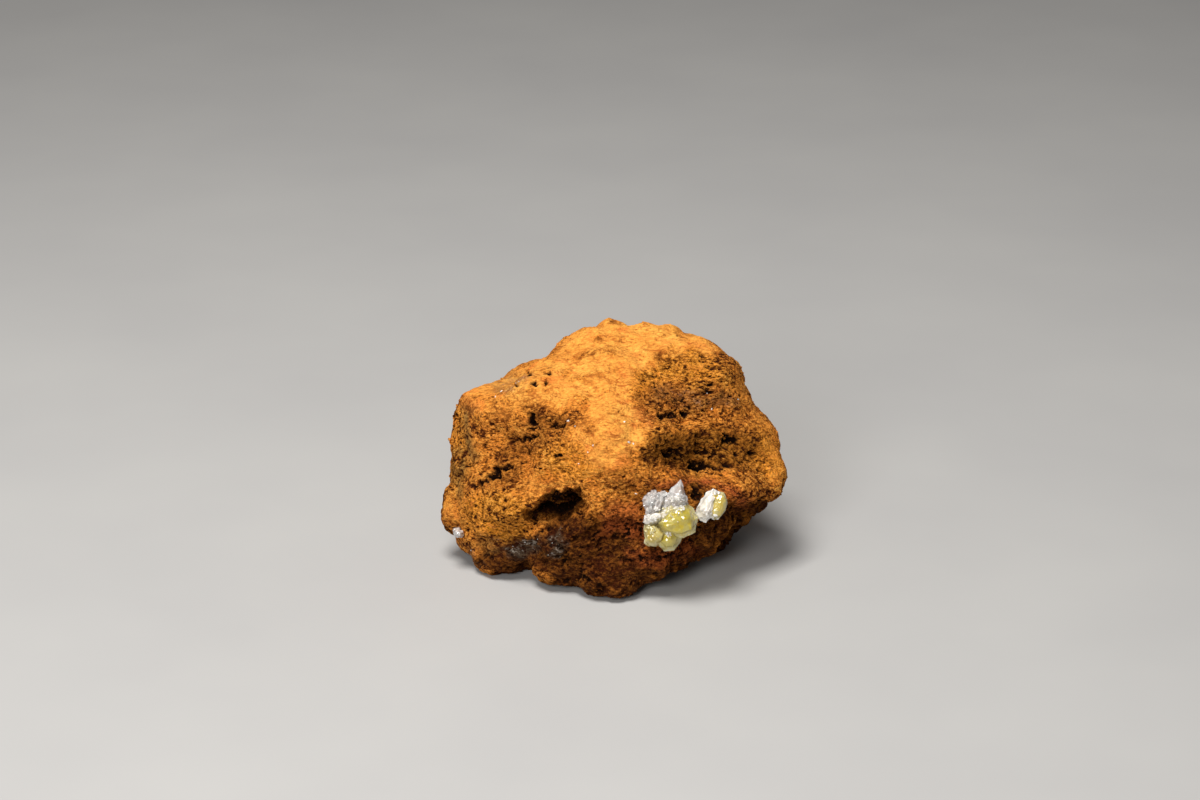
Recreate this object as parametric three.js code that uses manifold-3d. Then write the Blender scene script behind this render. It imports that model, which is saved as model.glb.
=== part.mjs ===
// A lump of rusty limonite with adamite crystals grown in a nest under a ledge. Millimetres, +Z up.
//
// The rock is described in a leaned frame, measured from the rock's middle: u runs to the right,
// v up the leaning front and w out of the front, towards whoever looks down on it by LEAN.
// Its form is a soft many-faced solid with lumps, ledges and hollows pushed in or out along each
// direction from the middle. The crystals are flat-faced prisms, each set in a socket in the rock.

import * as THREE from "three";
import { ConvexGeometry } from "three/addons/geometries/ConvexGeometry.js";
import { mergeVertices } from "three/addons/utils/BufferGeometryUtils.js";
import Module from "manifold-3d";

const wasm = await Module();
wasm.setup();

// Driving dimensions
const LEAN = THREE.MathUtils.degToRad(22);
const MIDDLE_RIGHT_OF_ORIGIN = -0.2;
const MIDDLE_BEHIND_ORIGIN = -0.3;
const MIDDLE_ABOVE_FLOOR = 10.3;
const ROCK_DETAIL = 18;
const FRONT_FINENESS = 0.28;
const FACE_SHARPNESS = 22;
const SOCKET_GAP = 0.35;
const GROUND_WIDTH = 80;
const GROUND_DEPTH = 20;

// Weathering of the rock's faces: height and length of its waves, and how many sizes of them
const WAVE_HEIGHT = 0.32;
const WAVE_LENGTH = 9;
const WAVE_SIZES = 3;
const WAVE_TURN = new THREE.Matrix3(0, 0.8, 0.6, -0.8, 0.36, -0.48, -0.6, -0.48, 0.64);
const WAVE_SHRINK = 1.87;
const WAVE_FALL = 0.5;
const WAVE_BEND = 0.45;
const WAVE_BEND_RATE = 0.8;
const WAVE_PEAK = 1.5;

// The rock's main faces: direction round the leaned picture and tilt towards the front, both in
// degrees, then the face's distance from the middle
const FACES = {
  "top plateau": [88, 41, 8.9],
  "top rim": [87, -12, 14.2],
  "crown left": [130, 8, 12.3],
  "left slope": [114, 14, 11.2],
  "upper left corner": [135, 6, 16.2],
  "left end": [180, 2, 15.6],
  "left lower end": [214, -6, 17.0],
  "left sole": [237, -16, 15.8],
  "sole left": [256, 8, 12.9],
  "sole right": [292, 0, 12.2],
  "lower right": [314, 10, 14.5],
  "right low corner": [337, -10, 16.2],
  "right end": [8, -8, 17.6],
  "right shoulder": [30, 4, 15.3],
  "upper right shoulder": [59, 6, 15.4],
  "left front": [172, 58, 9.8],
  "middle front": [262, 72, 10.4],
  "right front": [22, 50, 11.3],
  "right front low": [330, 52, 12.5],
  "left front low": [225, 48, 11.8],
  back: [0, -90, 12.5],
  "back left": [170, -50, 13.6],
  "back right": [10, -48, 14.2],
  "back top": [90, -50, 12.0],
  "back low": [270, -60, 10.8],
  underside: [270, -22, 9.9],
};

// Lumps and dents: direction from the middle as u, v, w, then radius, height (a dent's is
// negative) and how steep the flank is
const LUMPS = {
  knob: [-16.6, -5.2, -0.5, 2.5, 1.5, 1.0],
  "over the knob": [-15.7, -2.1, -0.7, 2.0, 0.6, 1.5],
  crown: [-2.6, 14.0, -4.0, 5.5, 0.8, 2],
  "crown left dent": [-1.8, 13.7, -3.5, 1.6, -0.6, 1.5],
  "crown knob": [0.0, 13.4, -3.3, 1.7, 0.7, 1.5],
  "top dent": [3.0, 12.0, -5.0, 3.0, -0.5, 2],
  "crown right knob": [3.3, 13.1, -2.9, 1.7, 0.6, 1.5],
  "crown right dent": [8.0, 12.9, -2.5, 2.2, -0.5, 1.5],
  "left corner": [-15.2, 6.2, 0.0, 3.8, 1.2, 1.5],
  "left shoulder": [-13.7, 6.5, -1.0, 3.6, 0.9, 1.5],
  "left slope": [-7.6, 10.3, -5.6, 2.8, -0.6, 1.5],
  "left slope top": [-10.8, 8.2, -4.2, 2.2, 0.4, 1.5],
  "lower left edge": [-14.5, -9.0, -1.0, 4.0, 0.5, 1.5],
  "left foot": [-11.4, -11.3, 1.0, 3.8, 1.9, 1.5],
  "beside the left foot": [-9.6, -11.9, 2.2, 2.3, -2.0, 1.3],
  "between the feet": [-5.6, -11.6, 4.5, 2.7, 0.9, 1.5],
  "front foot notch": [0.4, -13.7, 6.0, 1.3, -0.9, 1.5],
  "front foot": [-0.4, -14.0, 6.7, 3.5, 1.5, 1.0],
  "right foot": [7.5, -9.6, -3.7, 4.0, 1.2, 1.5],
  "back foot": [-4.5, -7.3, -9.3, 4.0, 1.3, 1.5],
  "right shoulder": [14.4, 7.0, -2.5, 3.0, -0.6, 1.5],
  "right nose": [16.6, -1.5, 1.4, 2.6, 0.6, 1.5],
  "under the nose": [15.0, -5.0, 0.8, 2.6, -0.8, 1.5],
  "right notch": [13.2, -7.6, -1.0, 4.2, -1.7, 1.5],
  "under the notch": [10.8, -9.0, -4.0, 2.6, 0.7, 1.5],
  "right side hollow": [15.5, 4.0, -5.0, 4.0, -0.9, 2],
  "back hollow": [4.0, 3.0, -12.0, 7.0, -1.8, 2],
  "back lump": [-6.0, 2.0, -12.0, 5.0, 1.3, 2],
  "back low hollow": [8.0, -6.0, -8.0, 5.0, -1.2, 2],
};

// Ledges and hollows of the front: middle as u, v, half width and half height, turn in degrees,
// height (a hollow's is negative) and how steep the flank is
const FRONT_RELIEF = {
  "upper bowl": [8.2, 5.6, 6.4, 4.6, -15, -1.9, 1.6],
  "upper bowl pit": [7.2, 4.3, 2.8, 1.4, -5, -0.9, 2],
  "middle ledge": [8.0, 3.0, 6, 1.5, -8, 0.7, 2],
  "lower bowl": [9.3, 0.2, 7.8, 3.1, -6, -2.1, 1.7],
  "ledge over the crystals": [9.5, -3.2, 8, 2.4, 2, 1.2, 2],
  "hollow under the ledge": [12.0, -6.6, 6, 2.2, 24, -1.2, 1.5],
  "crystal nest": [6.3, -6.2, 4.4, 3.8, 0, -0.8, 2],
  "deep cavity": [-5.0, -5.2, 3.6, 2.4, 22, -3.9, 1.7],
  "cavity mouth": [-7.4, -6.4, 3.4, 1.9, 10, -1.1, 1.6],
  spine: [-0.8, 2.5, 3.2, 8, -8, 0.9, 2],
  "left cheek": [-10.5, -5.5, 6, 4.5, 0, 0.7, 2],
  "left front hollow": [-9.5, 1.5, 6, 3.2, 25, -0.9, 2],
  "side groove": [-14.2, 1.5, 1.1, 5, 8, -0.5, 1.3],
  "bottom groove": [-7.5, -9.3, 5, 1.5, -8, -0.7, 1.6],
};
const FRONT_FADE = 2;

// Waves that bend the outlines of those ledges and hollows
const SLOW_BEND = { height: 0.5, rate: 0.8, start: 1 };
const QUICK_BEND = { height: 0.2, rate: 1.9, start: 0 };

// The crystals, in the leaned frame. Each has its outline across the widest part as u, v points,
// the depth w of that part and of its front face, the front face's share of the outline, and how
// much the front face rises per millimetre to the right and upwards
const CLUSTER = {
  "left hump": {
    outline: [[3.1, -3.7], [3.5, -3.1], [4.2, -2.85], [5.1, -3], [5.6, -4.1], [4.7, -5.4], [3.4, -5.3]],
    girdle: 9.9,
    front: 10.7,
    share: 0.62,
    slope: [0.1, -0.25],
  },
  "middle saddle": {
    outline: [[4.5, -2.95], [5.4, -3.1], [6.2, -2.8], [6.6, -3.6], [6.3, -4.8], [5, -5.2]],
    girdle: 9.9,
    front: 10.5,
    share: 0.6,
    slope: [0.1, -0.3],
  },
  "upright spike": {
    outline: [
      [5.6, -3], [6.1, -2.4], [6.6, -2], [6.9, -2.3], [7.1, -3.1], [7.5, -4.2], [6.5, -4.8], [5.5, -4.1],
    ],
    girdle: 10,
    front: 11,
    share: 0.5,
    slope: [-0.1, -0.15],
  },
  "white band": {
    outline: [[3.2, -5.3], [4.3, -4.9], [5.2, -4.9], [5.1, -5.5], [4.4, -6.1], [3.6, -6.2], [3.1, -6]],
    girdle: 10,
    front: 10.8,
    share: 0.6,
    slope: [0.1, 0.2],
  },
  "frosted middle": {
    outline: [[4.8, -4.7], [5.9, -4.2], [6.9, -4.3], [6.7, -5.4], [5.8, -5.9], [4.7, -5.7]],
    girdle: 10.1,
    front: 10.9,
    share: 0.6,
    slope: [0, 0.15],
  },
  "yellow block": {
    outline: [
      [4.4, -6.1], [5.1, -5.1], [6.7, -4.3], [7.4, -4.1], [8, -4.6], [8.4, -5.6], [8.2, -6.9],
      [7, -7.5], [5.1, -7.1],
    ],
    girdle: 9.9,
    front: 11.2,
    share: 0.72,
    slope: [-0.08, 0.12],
  },
  "lower left crystal": {
    outline: [
      [3.2, -6.2], [4.1, -6], [4.9, -6.5], [5.3, -7.2], [5.1, -7.9], [4.4, -8.3], [3.6, -8.3], [3.2, -8],
    ],
    girdle: 9.4,
    front: 10.4,
    share: 0.68,
    slope: [0.2, 0.2],
  },
  "bottom crystal": {
    outline: [[4.3, -8], [5, -6.9], [5.9, -6.8], [6.9, -7.4], [6.5, -8.3], [6.1, -8.7], [5.1, -8.8]],
    girdle: 9.1,
    front: 10.1,
    share: 0.62,
    slope: [0, 0.25],
  },
};
const SIDE_GROUP = {
  "white blades": {
    outline: [[8.6, -4.9], [8.8, -3.8], [9.4, -2.9], [10, -2.75], [10.6, -3.3], [9.9, -5.2], [9.2, -5.8]],
    girdle: 9.5,
    front: 10.5,
    share: 0.55,
    slope: [0, -0.2],
  },
  "yellow ribs": {
    outline: [
      [9.7, -2.8], [10.9, -3.1], [11.3, -3.8], [11.1, -4.8], [10.5, -5.6], [10, -5.8], [9.2, -5],
    ],
    girdle: 9.2,
    front: 10.2,
    share: 0.6,
    slope: [-0.15, -0.1],
  },
};
const WHITE_CRYSTAL = {
  outline: [[-15.7, -7], [-15.1, -6.8], [-14.7, -7.2], [-14.8, -7.8], [-15.3, -7.9], [-15.7, -7.6]],
  girdle: 1.2,
  front: 1.9,
  share: 0.5,
  slope: [0.3, 0.2],
  root: 1,
};

// A crystal's root: how far behind its widest part it ends, unless it has a depth of its own, and
// its share of the outline there
const ROOT_DEPTH = 2;
const ROOT_SHARE = 0.9;

const toUpright = new THREE.Matrix4()
  .makeTranslation(MIDDLE_RIGHT_OF_ORIGIN, MIDDLE_BEHIND_ORIGIN, MIDDLE_ABOVE_FLOOR)
  .multiply(new THREE.Matrix4().makeRotationX(Math.PI / 2 - LEAN));

function directionOf(round, tilt) {
  const [a, b] = [round, tilt].map(THREE.MathUtils.degToRad);
  return new THREE.Vector3(Math.cos(a) * Math.cos(b), Math.sin(a) * Math.cos(b), Math.sin(b));
}

const faceList = Object.values(FACES).map(([round, tilt, distance]) => ({
  normal: directionOf(round, tilt),
  distance,
}));

// Distance from the middle to the soft many-faced solid: a high power of each face's share
function facedRadius(direction) {
  let sum = 0;
  for (const { normal, distance } of faceList) {
    sum += (Math.max(direction.dot(normal), 0) / distance) ** FACE_SHARPNESS;
  }
  return sum ** (-1 / FACE_SHARPNESS);
}

const lumpList = Object.values(LUMPS).map(([u, v, w, radius, height, steepness]) => {
  const direction = new THREE.Vector3(u, v, w).normalize();
  return {
    middle: direction.clone().multiplyScalar(facedRadius(direction)),
    radius,
    height,
    steepness,
  };
});

function bell(squaredDistance, steepness) {
  return Math.max(1 - squaredDistance, 0) ** steepness;
}

function lumps(p) {
  return lumpList.reduce(
    (sum, { middle, radius, height, steepness }) =>
      sum + height * bell(p.distanceToSquared(middle) / radius ** 2, steepness),
    0,
  );
}

function bend({ height, rate, start }, place) {
  return height * Math.sin(rate * place + start);
}

// Elliptical ledges and hollows with bent outlines
function frontRelief(p) {
  const u = p.x + bend(SLOW_BEND, p.y) + bend(QUICK_BEND, p.z);
  const v = p.y + bend(SLOW_BEND, p.z) + bend(QUICK_BEND, p.x);
  let sum = 0;
  for (const [midU, midV, halfU, halfV, turn, height, steepness] of Object.values(FRONT_RELIEF)) {
    const angle = THREE.MathUtils.degToRad(turn);
    const along = ((u - midU) * Math.cos(angle) + (v - midV) * Math.sin(angle)) / halfU;
    const across = ((v - midV) * Math.cos(angle) - (u - midU) * Math.sin(angle)) / halfV;
    sum += height * bell(along ** 2 + across ** 2, steepness);
  }
  return sum * THREE.MathUtils.clamp(p.z / FRONT_FADE, 0, 1);
}

// Lumpy waves of falling size, each in a turned frame and bent a little by the one before
function weathering(p) {
  const q = p.clone().multiplyScalar((2 * Math.PI) / WAVE_LENGTH);
  let sum = 0;
  for (let i = 0; i < WAVE_SIZES; i++) {
    const phase = new THREE.Vector3(q.z, q.x, q.y).multiplyScalar(WAVE_BEND_RATE).addScalar(i);
    q.x += WAVE_BEND * Math.sin(phase.x);
    q.y += WAVE_BEND * Math.sin(phase.y);
    q.z += WAVE_BEND * Math.sin(phase.z);
    const wave =
      Math.sin(q.x) * Math.cos(q.y) + Math.sin(q.y) * Math.cos(q.z) + Math.sin(q.z) * Math.cos(q.x);
    sum += (WAVE_FALL ** i * wave) / WAVE_PEAK;
    q.applyMatrix3(WAVE_TURN).multiplyScalar(WAVE_SHRINK);
  }
  return WAVE_HEIGHT * sum;
}

function rockPoint(direction) {
  const p = direction.clone().multiplyScalar(facedRadius(direction));
  const rise = lumps(p) + frontRelief(p) + weathering(p);
  return p.addScaledVector(direction, rise);
}

function solidOf(geometry) {
  const bare = geometry.clone();
  bare.deleteAttribute("normal");
  bare.deleteAttribute("uv");
  const merged = mergeVertices(bare, 1e-5);
  return new wasm.Manifold(
    new wasm.Mesh({
      numProp: 3,
      vertProperties: merged.attributes.position.array,
      triVerts: new Uint32Array(merged.index.array),
    }),
  );
}

function meshOf(name, solid, material) {
  const { vertProperties, triVerts } = solid.getMesh();
  const geometry = new THREE.BufferGeometry()
    .setAttribute("position", new THREE.BufferAttribute(vertProperties, 3))
    .setIndex(new THREE.BufferAttribute(triVerts, 1));
  const flat = geometry.toNonIndexed();
  flat.computeVertexNormals();
  const mesh = new THREE.Mesh(flat, material);
  mesh.name = name;
  return mesh;
}

// The ball's corners are drawn towards the front before they take the rock's form, so that its
// triangles are finer there
function rockSolid() {
  const geometry = new THREE.IcosahedronGeometry(1, ROCK_DETAIL);
  const position = geometry.attributes.position;
  const direction = new THREE.Vector3();
  for (let i = 0; i < position.count; i++) {
    direction.fromBufferAttribute(position, i).normalize();
    direction.z += FRONT_FINENESS;
    direction.normalize();
    const p = rockPoint(direction).applyMatrix4(toUpright);
    position.setXYZ(i, p.x, p.y, p.z);
  }
  const ground = new THREE.BoxGeometry(GROUND_WIDTH, GROUND_WIDTH, GROUND_DEPTH);
  ground.translate(0, 0, -GROUND_DEPTH / 2);
  return solidOf(geometry).subtract(solidOf(ground));
}

// A flat-faced crystal: the hull of its widest outline, its smaller sloping front face and its
// root. Growth moves each corner out from the middle, for the socket that holds the crystal
function crystalSolid({ outline, girdle, front, share, slope, root = ROOT_DEPTH }, growth) {
  const count = outline.length;
  const [midU, midV] = [0, 1].map((axis) => outline.reduce((sum, p) => sum + p[axis], 0) / count);
  const corners = [];
  for (const [u, v] of outline) {
    const [du, dv] = [u - midU, v - midV];
    const rise = share * (du * slope[0] + dv * slope[1]);
    corners.push(new THREE.Vector3(du, dv, 0));
    corners.push(new THREE.Vector3(du * share, dv * share, front - girdle + rise));
    corners.push(new THREE.Vector3(du * ROOT_SHARE, dv * ROOT_SHARE, -root));
  }
  for (const corner of corners) {
    corner.setLength(corner.length() + growth);
    corner.add(new THREE.Vector3(midU, midV, girdle));
  }
  return solidOf(new ConvexGeometry(corners).applyMatrix4(toUpright));
}

function groupSolid(crystals, growth) {
  return crystals
    .map((crystal) => crystalSolid(crystal, growth))
    .reduce((joined, crystal) => joined.add(crystal));
}

const limonite = new THREE.MeshStandardMaterial({ color: 0xb8742a, roughness: 0.95, metalness: 0 });
const adamite = new THREE.MeshStandardMaterial({ color: 0xdcd487, roughness: 0.18, metalness: 0 });
const white = new THREE.MeshStandardMaterial({ color: 0xe6e6de, roughness: 0.3, metalness: 0 });

const crystalPieces = [
  { name: "adamite_cluster", crystals: Object.values(CLUSTER), material: adamite },
  { name: "adamite_side_crystal", crystals: Object.values(SIDE_GROUP), material: adamite },
  { name: "white_crystal", crystals: [WHITE_CRYSTAL], material: white },
];

const group = new THREE.Group();
const sockets = crystalPieces.map(({ crystals }) => groupSolid(crystals, SOCKET_GAP));
const rock = sockets.reduce((solid, socket) => solid.subtract(socket), rockSolid());
group.add(meshOf("limonite_matrix", rock, limonite));
for (const { name, crystals, material } of crystalPieces) {
  group.add(meshOf(name, groupSolid(crystals, 0), material));
}

export default group;
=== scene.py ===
# %% [markdown]
# Adamite on limonite, a lesson in cells
#
# The real thing is a lump of rusty iron ore about 34 mm wide. Yellow-green and colourless
# crystals of adamite grow in a shallow nest under a ledge of its front. The imported CAD model
# gives the true size and place of each piece. Here every piece gets its fine surface, worked
# out with numpy, and a material made of nodes. The first cell loads that model and lists its pieces.

# %% Load the frame
import math

import bpy
import numpy as np
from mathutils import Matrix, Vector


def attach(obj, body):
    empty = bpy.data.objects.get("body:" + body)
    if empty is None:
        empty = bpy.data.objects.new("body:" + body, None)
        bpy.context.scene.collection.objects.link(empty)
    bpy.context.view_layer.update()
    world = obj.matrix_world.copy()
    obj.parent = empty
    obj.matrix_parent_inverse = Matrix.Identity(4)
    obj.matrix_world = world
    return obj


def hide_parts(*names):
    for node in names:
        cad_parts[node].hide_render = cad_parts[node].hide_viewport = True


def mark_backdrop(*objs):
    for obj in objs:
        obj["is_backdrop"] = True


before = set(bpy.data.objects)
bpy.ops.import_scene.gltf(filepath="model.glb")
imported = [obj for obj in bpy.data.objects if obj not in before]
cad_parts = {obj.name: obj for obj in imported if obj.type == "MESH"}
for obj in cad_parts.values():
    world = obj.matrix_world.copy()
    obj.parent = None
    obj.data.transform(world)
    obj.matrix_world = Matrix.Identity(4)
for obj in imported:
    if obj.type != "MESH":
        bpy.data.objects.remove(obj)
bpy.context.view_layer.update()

print("pieces of the frame:", sorted(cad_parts))

# %% [markdown]
# Two frames of reference. Lengths are worked out in millimetres and turned into metres when a
# mesh is made. The rock could be described upright, as it stands, but its front leans back, and
# the camera looks straight at that front. So a leaned frame is easier, measured from the middle:
# u runs to the right, v up the leaning front and w out of it. One function turns leaned points
# into the upright frame that the CAD model stands in.

# %% The leaned frame
MM = 0.001
LEAN = math.radians(22)
MIDDLE_RIGHT_OF_ORIGIN = -0.2
MIDDLE_BEHIND_ORIGIN = -0.3
MIDDLE_ABOVE_FLOOR = 10.3
RIGHT = np.array([1.0, 0.0, 0.0])
UP_FRONT = np.array([0.0, math.sin(LEAN), math.cos(LEAN)])
OUT = np.array([0.0, -math.cos(LEAN), math.sin(LEAN)])
MIDDLE = np.array([MIDDLE_RIGHT_OF_ORIGIN, MIDDLE_BEHIND_ORIGIN, MIDDLE_ABOVE_FLOOR])


def upright(p):
    """Leaned points (n, 3) in millimetres as upright points: the middle plus u, v and w steps."""
    return MIDDLE + p[:, :1] * RIGHT + p[:, 1:2] * UP_FRONT + p[:, 2:3] * OUT


print("the front leans back by %.0f degrees round %s mm" % (math.degrees(LEAN), MIDDLE))

# %% [markdown]
# Noise is what turns a smooth form into a natural one. Two kinds are enough for earthy rock.
# Smooth noise blends random heights at the corners of a cubic lattice. Cell noise scatters one
# point in each lattice cube and measures the distance to the nearest, which gives grains and
# round pits. Blender has both, but as arrays in numpy they also move points. Each lattice cell
# needs a random number that is always the same, and mixing the bits of its place gives one.

# %% Random numbers for lattice cells
COLUMN_FACTORS = (0x8DA6B343, 0xD8163841, 0xCB1AB31F)
SEED_FACTOR = 0x9E3779B9
SHIFTS_AND_FACTORS = ((15, 0x2C1B3C6D), (12, 0x297A2D39))
LAST_SHIFT = 15
ALL_BITS = 0xFFFFFFFF


def hashed(cell, seed):
    """Random number from 0 to 1 for each whole-number cell (n, 3): multiply, shift and mix."""
    with np.errstate(over="ignore"):
        c = cell.astype(np.int64).astype(np.uint32)
        h = np.uint32((seed * SEED_FACTOR) & ALL_BITS)
        for column, factor in enumerate(COLUMN_FACTORS):
            h = h ^ c[:, column] * np.uint32(factor)
        for shift, factor in SHIFTS_AND_FACTORS:
            h = (h ^ (h >> np.uint32(shift))) * np.uint32(factor)
        h = h ^ (h >> np.uint32(LAST_SHIFT))
    return h / np.float64(ALL_BITS)


draws = hashed(np.arange(3000).reshape(-1, 3), 1)
print("1000 random numbers with a mean of %.2f" % draws.mean())

# %% [markdown]
# Smooth noise is the ground wave of every lump. Summed at halving sizes it becomes rough noise,
# which looks alike near and far, as broken rock does.

# %% Smooth and rough noise
OCTAVE_SHIFT = 17.3
OCTAVE_SHRINK = 2.03
CORNERS = np.array([(i, j, k) for i in (0, 1) for j in (0, 1) for k in (0, 1)])


def smooth_noise(p, size, seed):
    """Noise from -1 to 1: the eight lattice corners round a point, weighted by smooth steps."""
    q = p / size
    base = np.floor(q)
    f = q - base
    f = f * f * (3 - 2 * f)
    total = np.zeros(len(p))
    for corner in CORNERS:
        weight = np.prod(np.where(corner, f, 1 - f), axis=1)
        total += weight * hashed(base + corner, seed)
    return 2 * total - 1


def rough_noise(p, size, octaves, seed, fall=0.5):
    """Sum of smooth noises, each half the size and a share of the height of the one before."""
    total = np.zeros(len(p))
    height = 1.0
    for i in range(octaves):
        shifted = p + OCTAVE_SHIFT * (i + seed)
        total += height * smooth_noise(shifted, size, seed + i)
        size = size / OCTAVE_SHRINK
        height = height * fall
    return total


probe = np.random.default_rng(1).uniform(0, 30, (4000, 3))
heights = rough_noise(probe, 1.0, 3, 3)
print("rough noise runs from %.2f to %.2f" % (heights.min(), heights.max()))

# %% [markdown]
# Cell noise makes the clods. Each point asks the 27 lattice cubes round it for their scattered
# points and keeps the nearest one, with a random number that belongs to it, so that every clod
# can have a height of its own.

# %% Cell noise
NEIGHBOURS = np.array([(i, j, k) for i in (-1, 0, 1) for j in (-1, 0, 1) for k in (-1, 0, 1)])


def cell_noise(p, size, seed):
    """Distance to the nearest scattered point in cell sizes, and that point's random number."""
    q = p / size
    base = np.floor(q)
    nearest = np.full(len(p), np.inf)
    luck = np.zeros(len(p))
    for step in NEIGHBOURS:
        cell = base + step
        spot = cell + np.stack([hashed(cell, seed + k) for k in (1, 2, 3)], axis=1)
        distance = np.linalg.norm(q - spot, axis=1)
        closer = distance < nearest
        nearest = np.where(closer, distance, nearest)
        luck = np.where(closer, hashed(cell, seed + 4), luck)
    return nearest, luck


print("mean distance to a scattered point: %.2f cells" % cell_noise(probe, 1.0, 3)[0].mean())

# %% [markdown]
# The rock's form. A lump that broke out of a vein has broad faces with worn edges. It could be
# cut with planes, but planes leave knife edges. So each face is given by its turn and tilt in
# degrees and its distance from the middle, and a high power of every face's share blends them
# into one soft many-faced solid. These are the CAD solid's own values, so the fine surface lies
# on it.

# %% Broad faces of the lump
FACES = {
    "top plateau": (88, 41, 8.9),
    "top rim": (87, -12, 14.2),
    "crown left": (130, 8, 12.3),
    "left slope": (114, 14, 11.2),
    "upper left corner": (135, 6, 16.2),
    "left end": (180, 2, 15.6),
    "left lower end": (214, -6, 17.0),
    "left sole": (237, -16, 15.8),
    "sole left": (256, 8, 12.9),
    "sole right": (292, 0, 12.2),
    "lower right": (314, 10, 14.5),
    "right low corner": (337, -10, 16.2),
    "right end": (8, -8, 17.6),
    "right shoulder": (30, 4, 15.3),
    "upper right shoulder": (59, 6, 15.4),
    "left front": (172, 58, 9.8),
    "middle front": (262, 72, 10.4),
    "right front": (22, 50, 11.3),
    "right front low": (330, 52, 12.5),
    "left front low": (225, 48, 11.8),
    "back": (0, -90, 12.5),
    "back left": (170, -50, 13.6),
    "back right": (10, -48, 14.2),
    "back top": (90, -50, 12.0),
    "back low": (270, -60, 10.8),
    "underside": (270, -22, 9.9),
}
FACE_SHARPNESS = 22


def faced_radius(d):
    """Distance to the soft solid along unit directions: (sum of (d.n / distance)^22)^(-1/22)."""
    total = np.zeros(len(d))
    for turn, tilt, distance in FACES.values():
        a, b = math.radians(turn), math.radians(tilt)
        normal = np.array([math.cos(a) * math.cos(b), math.sin(a) * math.cos(b), math.sin(b)])
        total += (np.maximum(d @ normal, 0) / distance) ** FACE_SHARPNESS
    return total ** (-1 / FACE_SHARPNESS)


print("broad faces:", len(FACES))

# %% [markdown]
# Lumps, dents, ledges and hollows. Separate blobs would have to be joined, so each is a bell
# that pushes the one surface out or in along the direction from the middle. A lump has a place
# u, v, w, a radius, a height and a steepness. A ledge or hollow of the front has a middle u, v,
# two half sizes, a turn in degrees, a height and a steepness. Slow waves bend the outlines of
# these, because no hollow in a rock is an ellipse.

# %% Lumps, ledges and hollows
LUMPS = {
    "knob": (-16.6, -5.2, -0.5, 2.5, 1.5, 1.0),
    "over the knob": (-15.7, -2.1, -0.7, 2.0, 0.6, 1.5),
    "crown": (-2.6, 14.0, -4.0, 5.5, 0.8, 2),
    "crown left dent": (-1.8, 13.7, -3.5, 1.6, -0.6, 1.5),
    "crown knob": (0.0, 13.4, -3.3, 1.7, 0.7, 1.5),
    "top dent": (3.0, 12.0, -5.0, 3.0, -0.5, 2),
    "crown right knob": (3.3, 13.1, -2.9, 1.7, 0.6, 1.5),
    "crown right dent": (8.0, 12.9, -2.5, 2.2, -0.5, 1.5),
    "left corner": (-15.2, 6.2, 0.0, 3.8, 1.2, 1.5),
    "left shoulder": (-13.7, 6.5, -1.0, 3.6, 0.9, 1.5),
    "left slope": (-7.6, 10.3, -5.6, 2.8, -0.6, 1.5),
    "left slope top": (-10.8, 8.2, -4.2, 2.2, 0.4, 1.5),
    "lower left edge": (-14.5, -9.0, -1.0, 4.0, 0.5, 1.5),
    "left foot": (-11.4, -11.3, 1.0, 3.8, 1.9, 1.5),
    "beside the left foot": (-9.6, -11.9, 2.2, 2.3, -2.0, 1.3),
    "between the feet": (-5.6, -11.6, 4.5, 2.7, 0.9, 1.5),
    "front foot notch": (0.4, -13.7, 6.0, 1.3, -0.9, 1.5),
    "front foot": (-0.4, -14.0, 6.7, 3.5, 1.5, 1.0),
    "right foot": (7.5, -9.6, -3.7, 4.0, 1.2, 1.5),
    "back foot": (-4.5, -7.3, -9.3, 4.0, 1.3, 1.5),
    "right shoulder": (14.4, 7.0, -2.5, 3.0, -0.6, 1.5),
    "right nose": (16.6, -1.5, 1.4, 2.6, 0.6, 1.5),
    "under the nose": (15.0, -5.0, 0.8, 2.6, -0.8, 1.5),
    "right notch": (13.2, -7.6, -1.0, 4.2, -1.7, 1.5),
    "under the notch": (10.8, -9.0, -4.0, 2.6, 0.7, 1.5),
    "right side hollow": (15.5, 4.0, -5.0, 4.0, -0.9, 2),
    "back hollow": (4.0, 3.0, -12.0, 7.0, -1.8, 2),
    "back lump": (-6.0, 2.0, -12.0, 5.0, 1.3, 2),
    "back low hollow": (8.0, -6.0, -8.0, 5.0, -1.2, 2),
}
FRONT_RELIEF = {
    "upper bowl": (8.2, 5.6, 6.4, 4.6, -15, -1.9, 1.6),
    "upper bowl pit": (7.2, 4.3, 2.8, 1.4, -5, -0.9, 2),
    "middle ledge": (8.0, 3.0, 6, 1.5, -8, 0.7, 2),
    "lower bowl": (9.3, 0.2, 7.8, 3.1, -6, -2.1, 1.7),
    "ledge over the crystals": (9.5, -3.2, 8, 2.4, 2, 1.2, 2),
    "hollow under the ledge": (12.0, -6.6, 6, 2.2, 24, -1.2, 1.5),
    "crystal nest": (6.3, -6.2, 4.4, 3.8, 0, -0.8, 2),
    "deep cavity": (-5.0, -5.2, 3.6, 2.4, 22, -3.9, 1.7),
    "cavity mouth": (-7.4, -6.4, 3.4, 1.9, 10, -1.1, 1.6),
    "spine": (-0.8, 2.5, 3.2, 8, -8, 0.9, 2),
    "left cheek": (-10.5, -5.5, 6, 4.5, 0, 0.7, 2),
    "left front hollow": (-9.5, 1.5, 6, 3.2, 25, -0.9, 2),
    "side groove": (-14.2, 1.5, 1.1, 5, 8, -0.5, 1.3),
    "bottom groove": (-7.5, -9.3, 5, 1.5, -8, -0.7, 1.6),
}
FRONT_FADE = 2
SLOW_BEND = (0.5, 0.8, 1)
QUICK_BEND = (0.2, 1.9, 0)


def bell(squared, steepness):
    """(1 - squared distance), never below nothing, to a power that sets how steep the flank is."""
    return np.maximum(1 - squared, 0) ** steepness


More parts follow.
